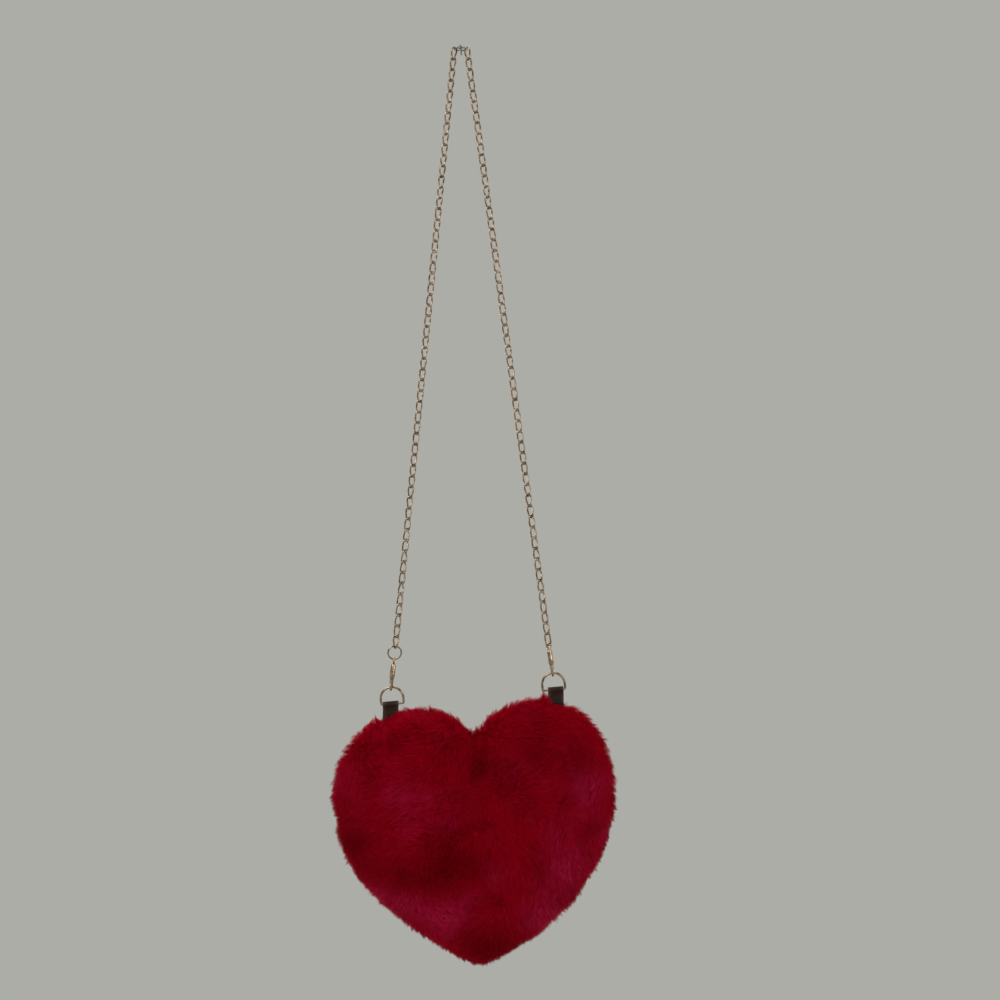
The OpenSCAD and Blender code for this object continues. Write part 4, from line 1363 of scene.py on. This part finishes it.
class PURSE_OT_stage(bpy.types.Operator):
    """Sets up the floor, peg, soft lights, world and camera"""

    bl_idname = "purse.stage"
    bl_label = "Stage"

    def execute(self, context):
        scene, sizes = context.scene, context.scene.purse_sizes
        pale = scene.purse_colours.backdrop
        self.floor(pale)
        self.peg(scene.purse_colours.steel)
        self.world(scene, pale)
        for name, spot, size, power in LAMPS:
            lamp = bpy.data.lights.new(name, "AREA")
            lamp.shape = "SQUARE"
            lamp.size, lamp.energy = size, power
            light = placed(name, lamp)
            light.location = spot
            light.rotation_euler = (LIT_POINT - Vector(spot)).to_track_quat("-Z", "Y").to_euler()
        camera = bpy.data.cameras.new("camera")
        camera.sensor_width = SENSOR
        camera.lens = SENSOR * sizes.camera_distance / sizes.view_height
        camera.clip_start, camera.clip_end = 0.01, 50
        viewer = placed("camera", camera)
        place = Matrix.Translation((CAMERA_X, -sizes.camera_distance, CAMERA_Z))
        upright = Matrix.Rotation(math.radians(90), 4, "X")
        viewer.matrix_world = place @ upright @ Matrix.Rotation(CAMERA_ROLL, 4, "Z")
        scene.camera = viewer
        scene.view_settings.view_transform = "Standard"
        return {"FINISHED"}

    def floor(self, pale):
        """A wide disc that fades into the backdrop's colour."""
        turns = [2 * math.pi * k / FLOOR_AROUND for k in range(FLOOR_AROUND)]
        points = [(0.0, 0.0, FLOOR_Z)]
        for radius in FLOOR_RINGS:
            points += [(radius * math.cos(a), radius * math.sin(a), FLOOR_Z) for a in turns]
        faces = [(0, 1 + k, 1 + (k + 1) % FLOOR_AROUND) for k in range(FLOOR_AROUND)]
        faces += lathe_faces(len(FLOOR_RINGS), FLOOR_AROUND, start=1)
        finish = Finish("pale_floor")
        paler = tuple(p * share for p, share in zip(pale, FLOOR_SHARES))
        finish.set(Base_Color=paler, Roughness=0.9)
        far = finish.node("VectorMath", {0: finish.place}, operation="LENGTH").outputs["Value"]
        glow = finish.node("Emission", {"Color": pale}).outputs[0]
        fade = finish.spread(far, *FLOOR_FADE)
        surface = finish.mix_shaders(fade, finish.shader.outputs[0], glow)
        finish.put(finish.out.inputs["Surface"], surface)
        placed("floor", mesh_of("floor", points, faces, finish.material))

    def peg(self, steel):
        """The nail that the strap hangs on."""
        points = []
        for radius, y in PEG_PROFILE:
            for k in range(PEG_AROUND):
                a = 2 * math.pi * k / PEG_AROUND
                x, z = radius * math.cos(a), radius * math.sin(a) - PEG_DROP
                points.append((x * MM, y * MM, z * MM))
        faces = lathe_faces(len(PEG_PROFILE), PEG_AROUND)
        metal = metal_finish("peg_steel", shade(steel, 0.5), 0.35, 0.3)
        placed("peg", mesh_of("peg", points, faces, metal, True))

    def world(self, scene, pale):
        """Soft grey light all round, with the pale backdrop behind what the camera sees."""
        scene.world = bpy.data.worlds.new("studio")
        nodes = Nodes(scene.world)
        ray = nodes.node("LightPath").outputs
        seen = nodes.maths("MAXIMUM", ray["Is Camera Ray"], ray["Is Glossy Ray"])
        seen = nodes.maths("MAXIMUM", seen, ray["Is Transmission Ray"])
        sky = nodes.node("Background", {"Color": SKY_COLOUR, "Strength": SKY_STRENGTH})
        backdrop = nodes.node("Background", {"Color": pale, "Strength": 1.0})
        surface = nodes.mix_shaders(seen, sky.outputs[0], backdrop.outputs[0])
        nodes.node("OutputWorld", {"Surface": surface})


class PURSE_PT_panel(bpy.types.Panel):
    """Lists the pieces of the purse and their sizes and colours"""

    bl_idname = "PURSE_PT_panel"
    bl_label = "Heart Purse"
    bl_space_type = "VIEW_3D"
    bl_region_type = "UI"
    bl_category = "Purse"

    def draw(self, context):
        for operator in OPERATORS:
            self.layout.operator(operator.bl_idname)
        for group in (context.scene.purse_sizes, context.scene.purse_colours):
            box = self.layout.box()
            for name in group.__annotations__:
                box.prop(group, name)


OPERATORS = (
    PURSE_OT_stage, PURSE_OT_chain, PURSE_OT_hooks, PURSE_OT_tabs, PURSE_OT_fur_cloth,
    PURSE_OT_padding, PURSE_OT_lining, PURSE_OT_seam, PURSE_OT_pile, PURSE_OT_zip,
)
CLASSES = (PurseSizes, PurseColours, *OPERATORS, PURSE_PT_panel)


def register():
    for each in CLASSES:
        bpy.utils.register_class(each)
    bpy.types.Scene.purse_sizes = PointerProperty(type=PurseSizes)
    bpy.types.Scene.purse_colours = PointerProperty(type=PurseColours)


def unregister():
    del bpy.types.Scene.purse_colours
    del bpy.types.Scene.purse_sizes
    for each in reversed(CLASSES):
        bpy.utils.unregister_class(each)


def main():
    register()
    for operator in OPERATORS:
        group, name = operator.bl_idname.split(".")
        getattr(getattr(bpy.ops, group), name)()


if __name__ == "__main__":
    main()
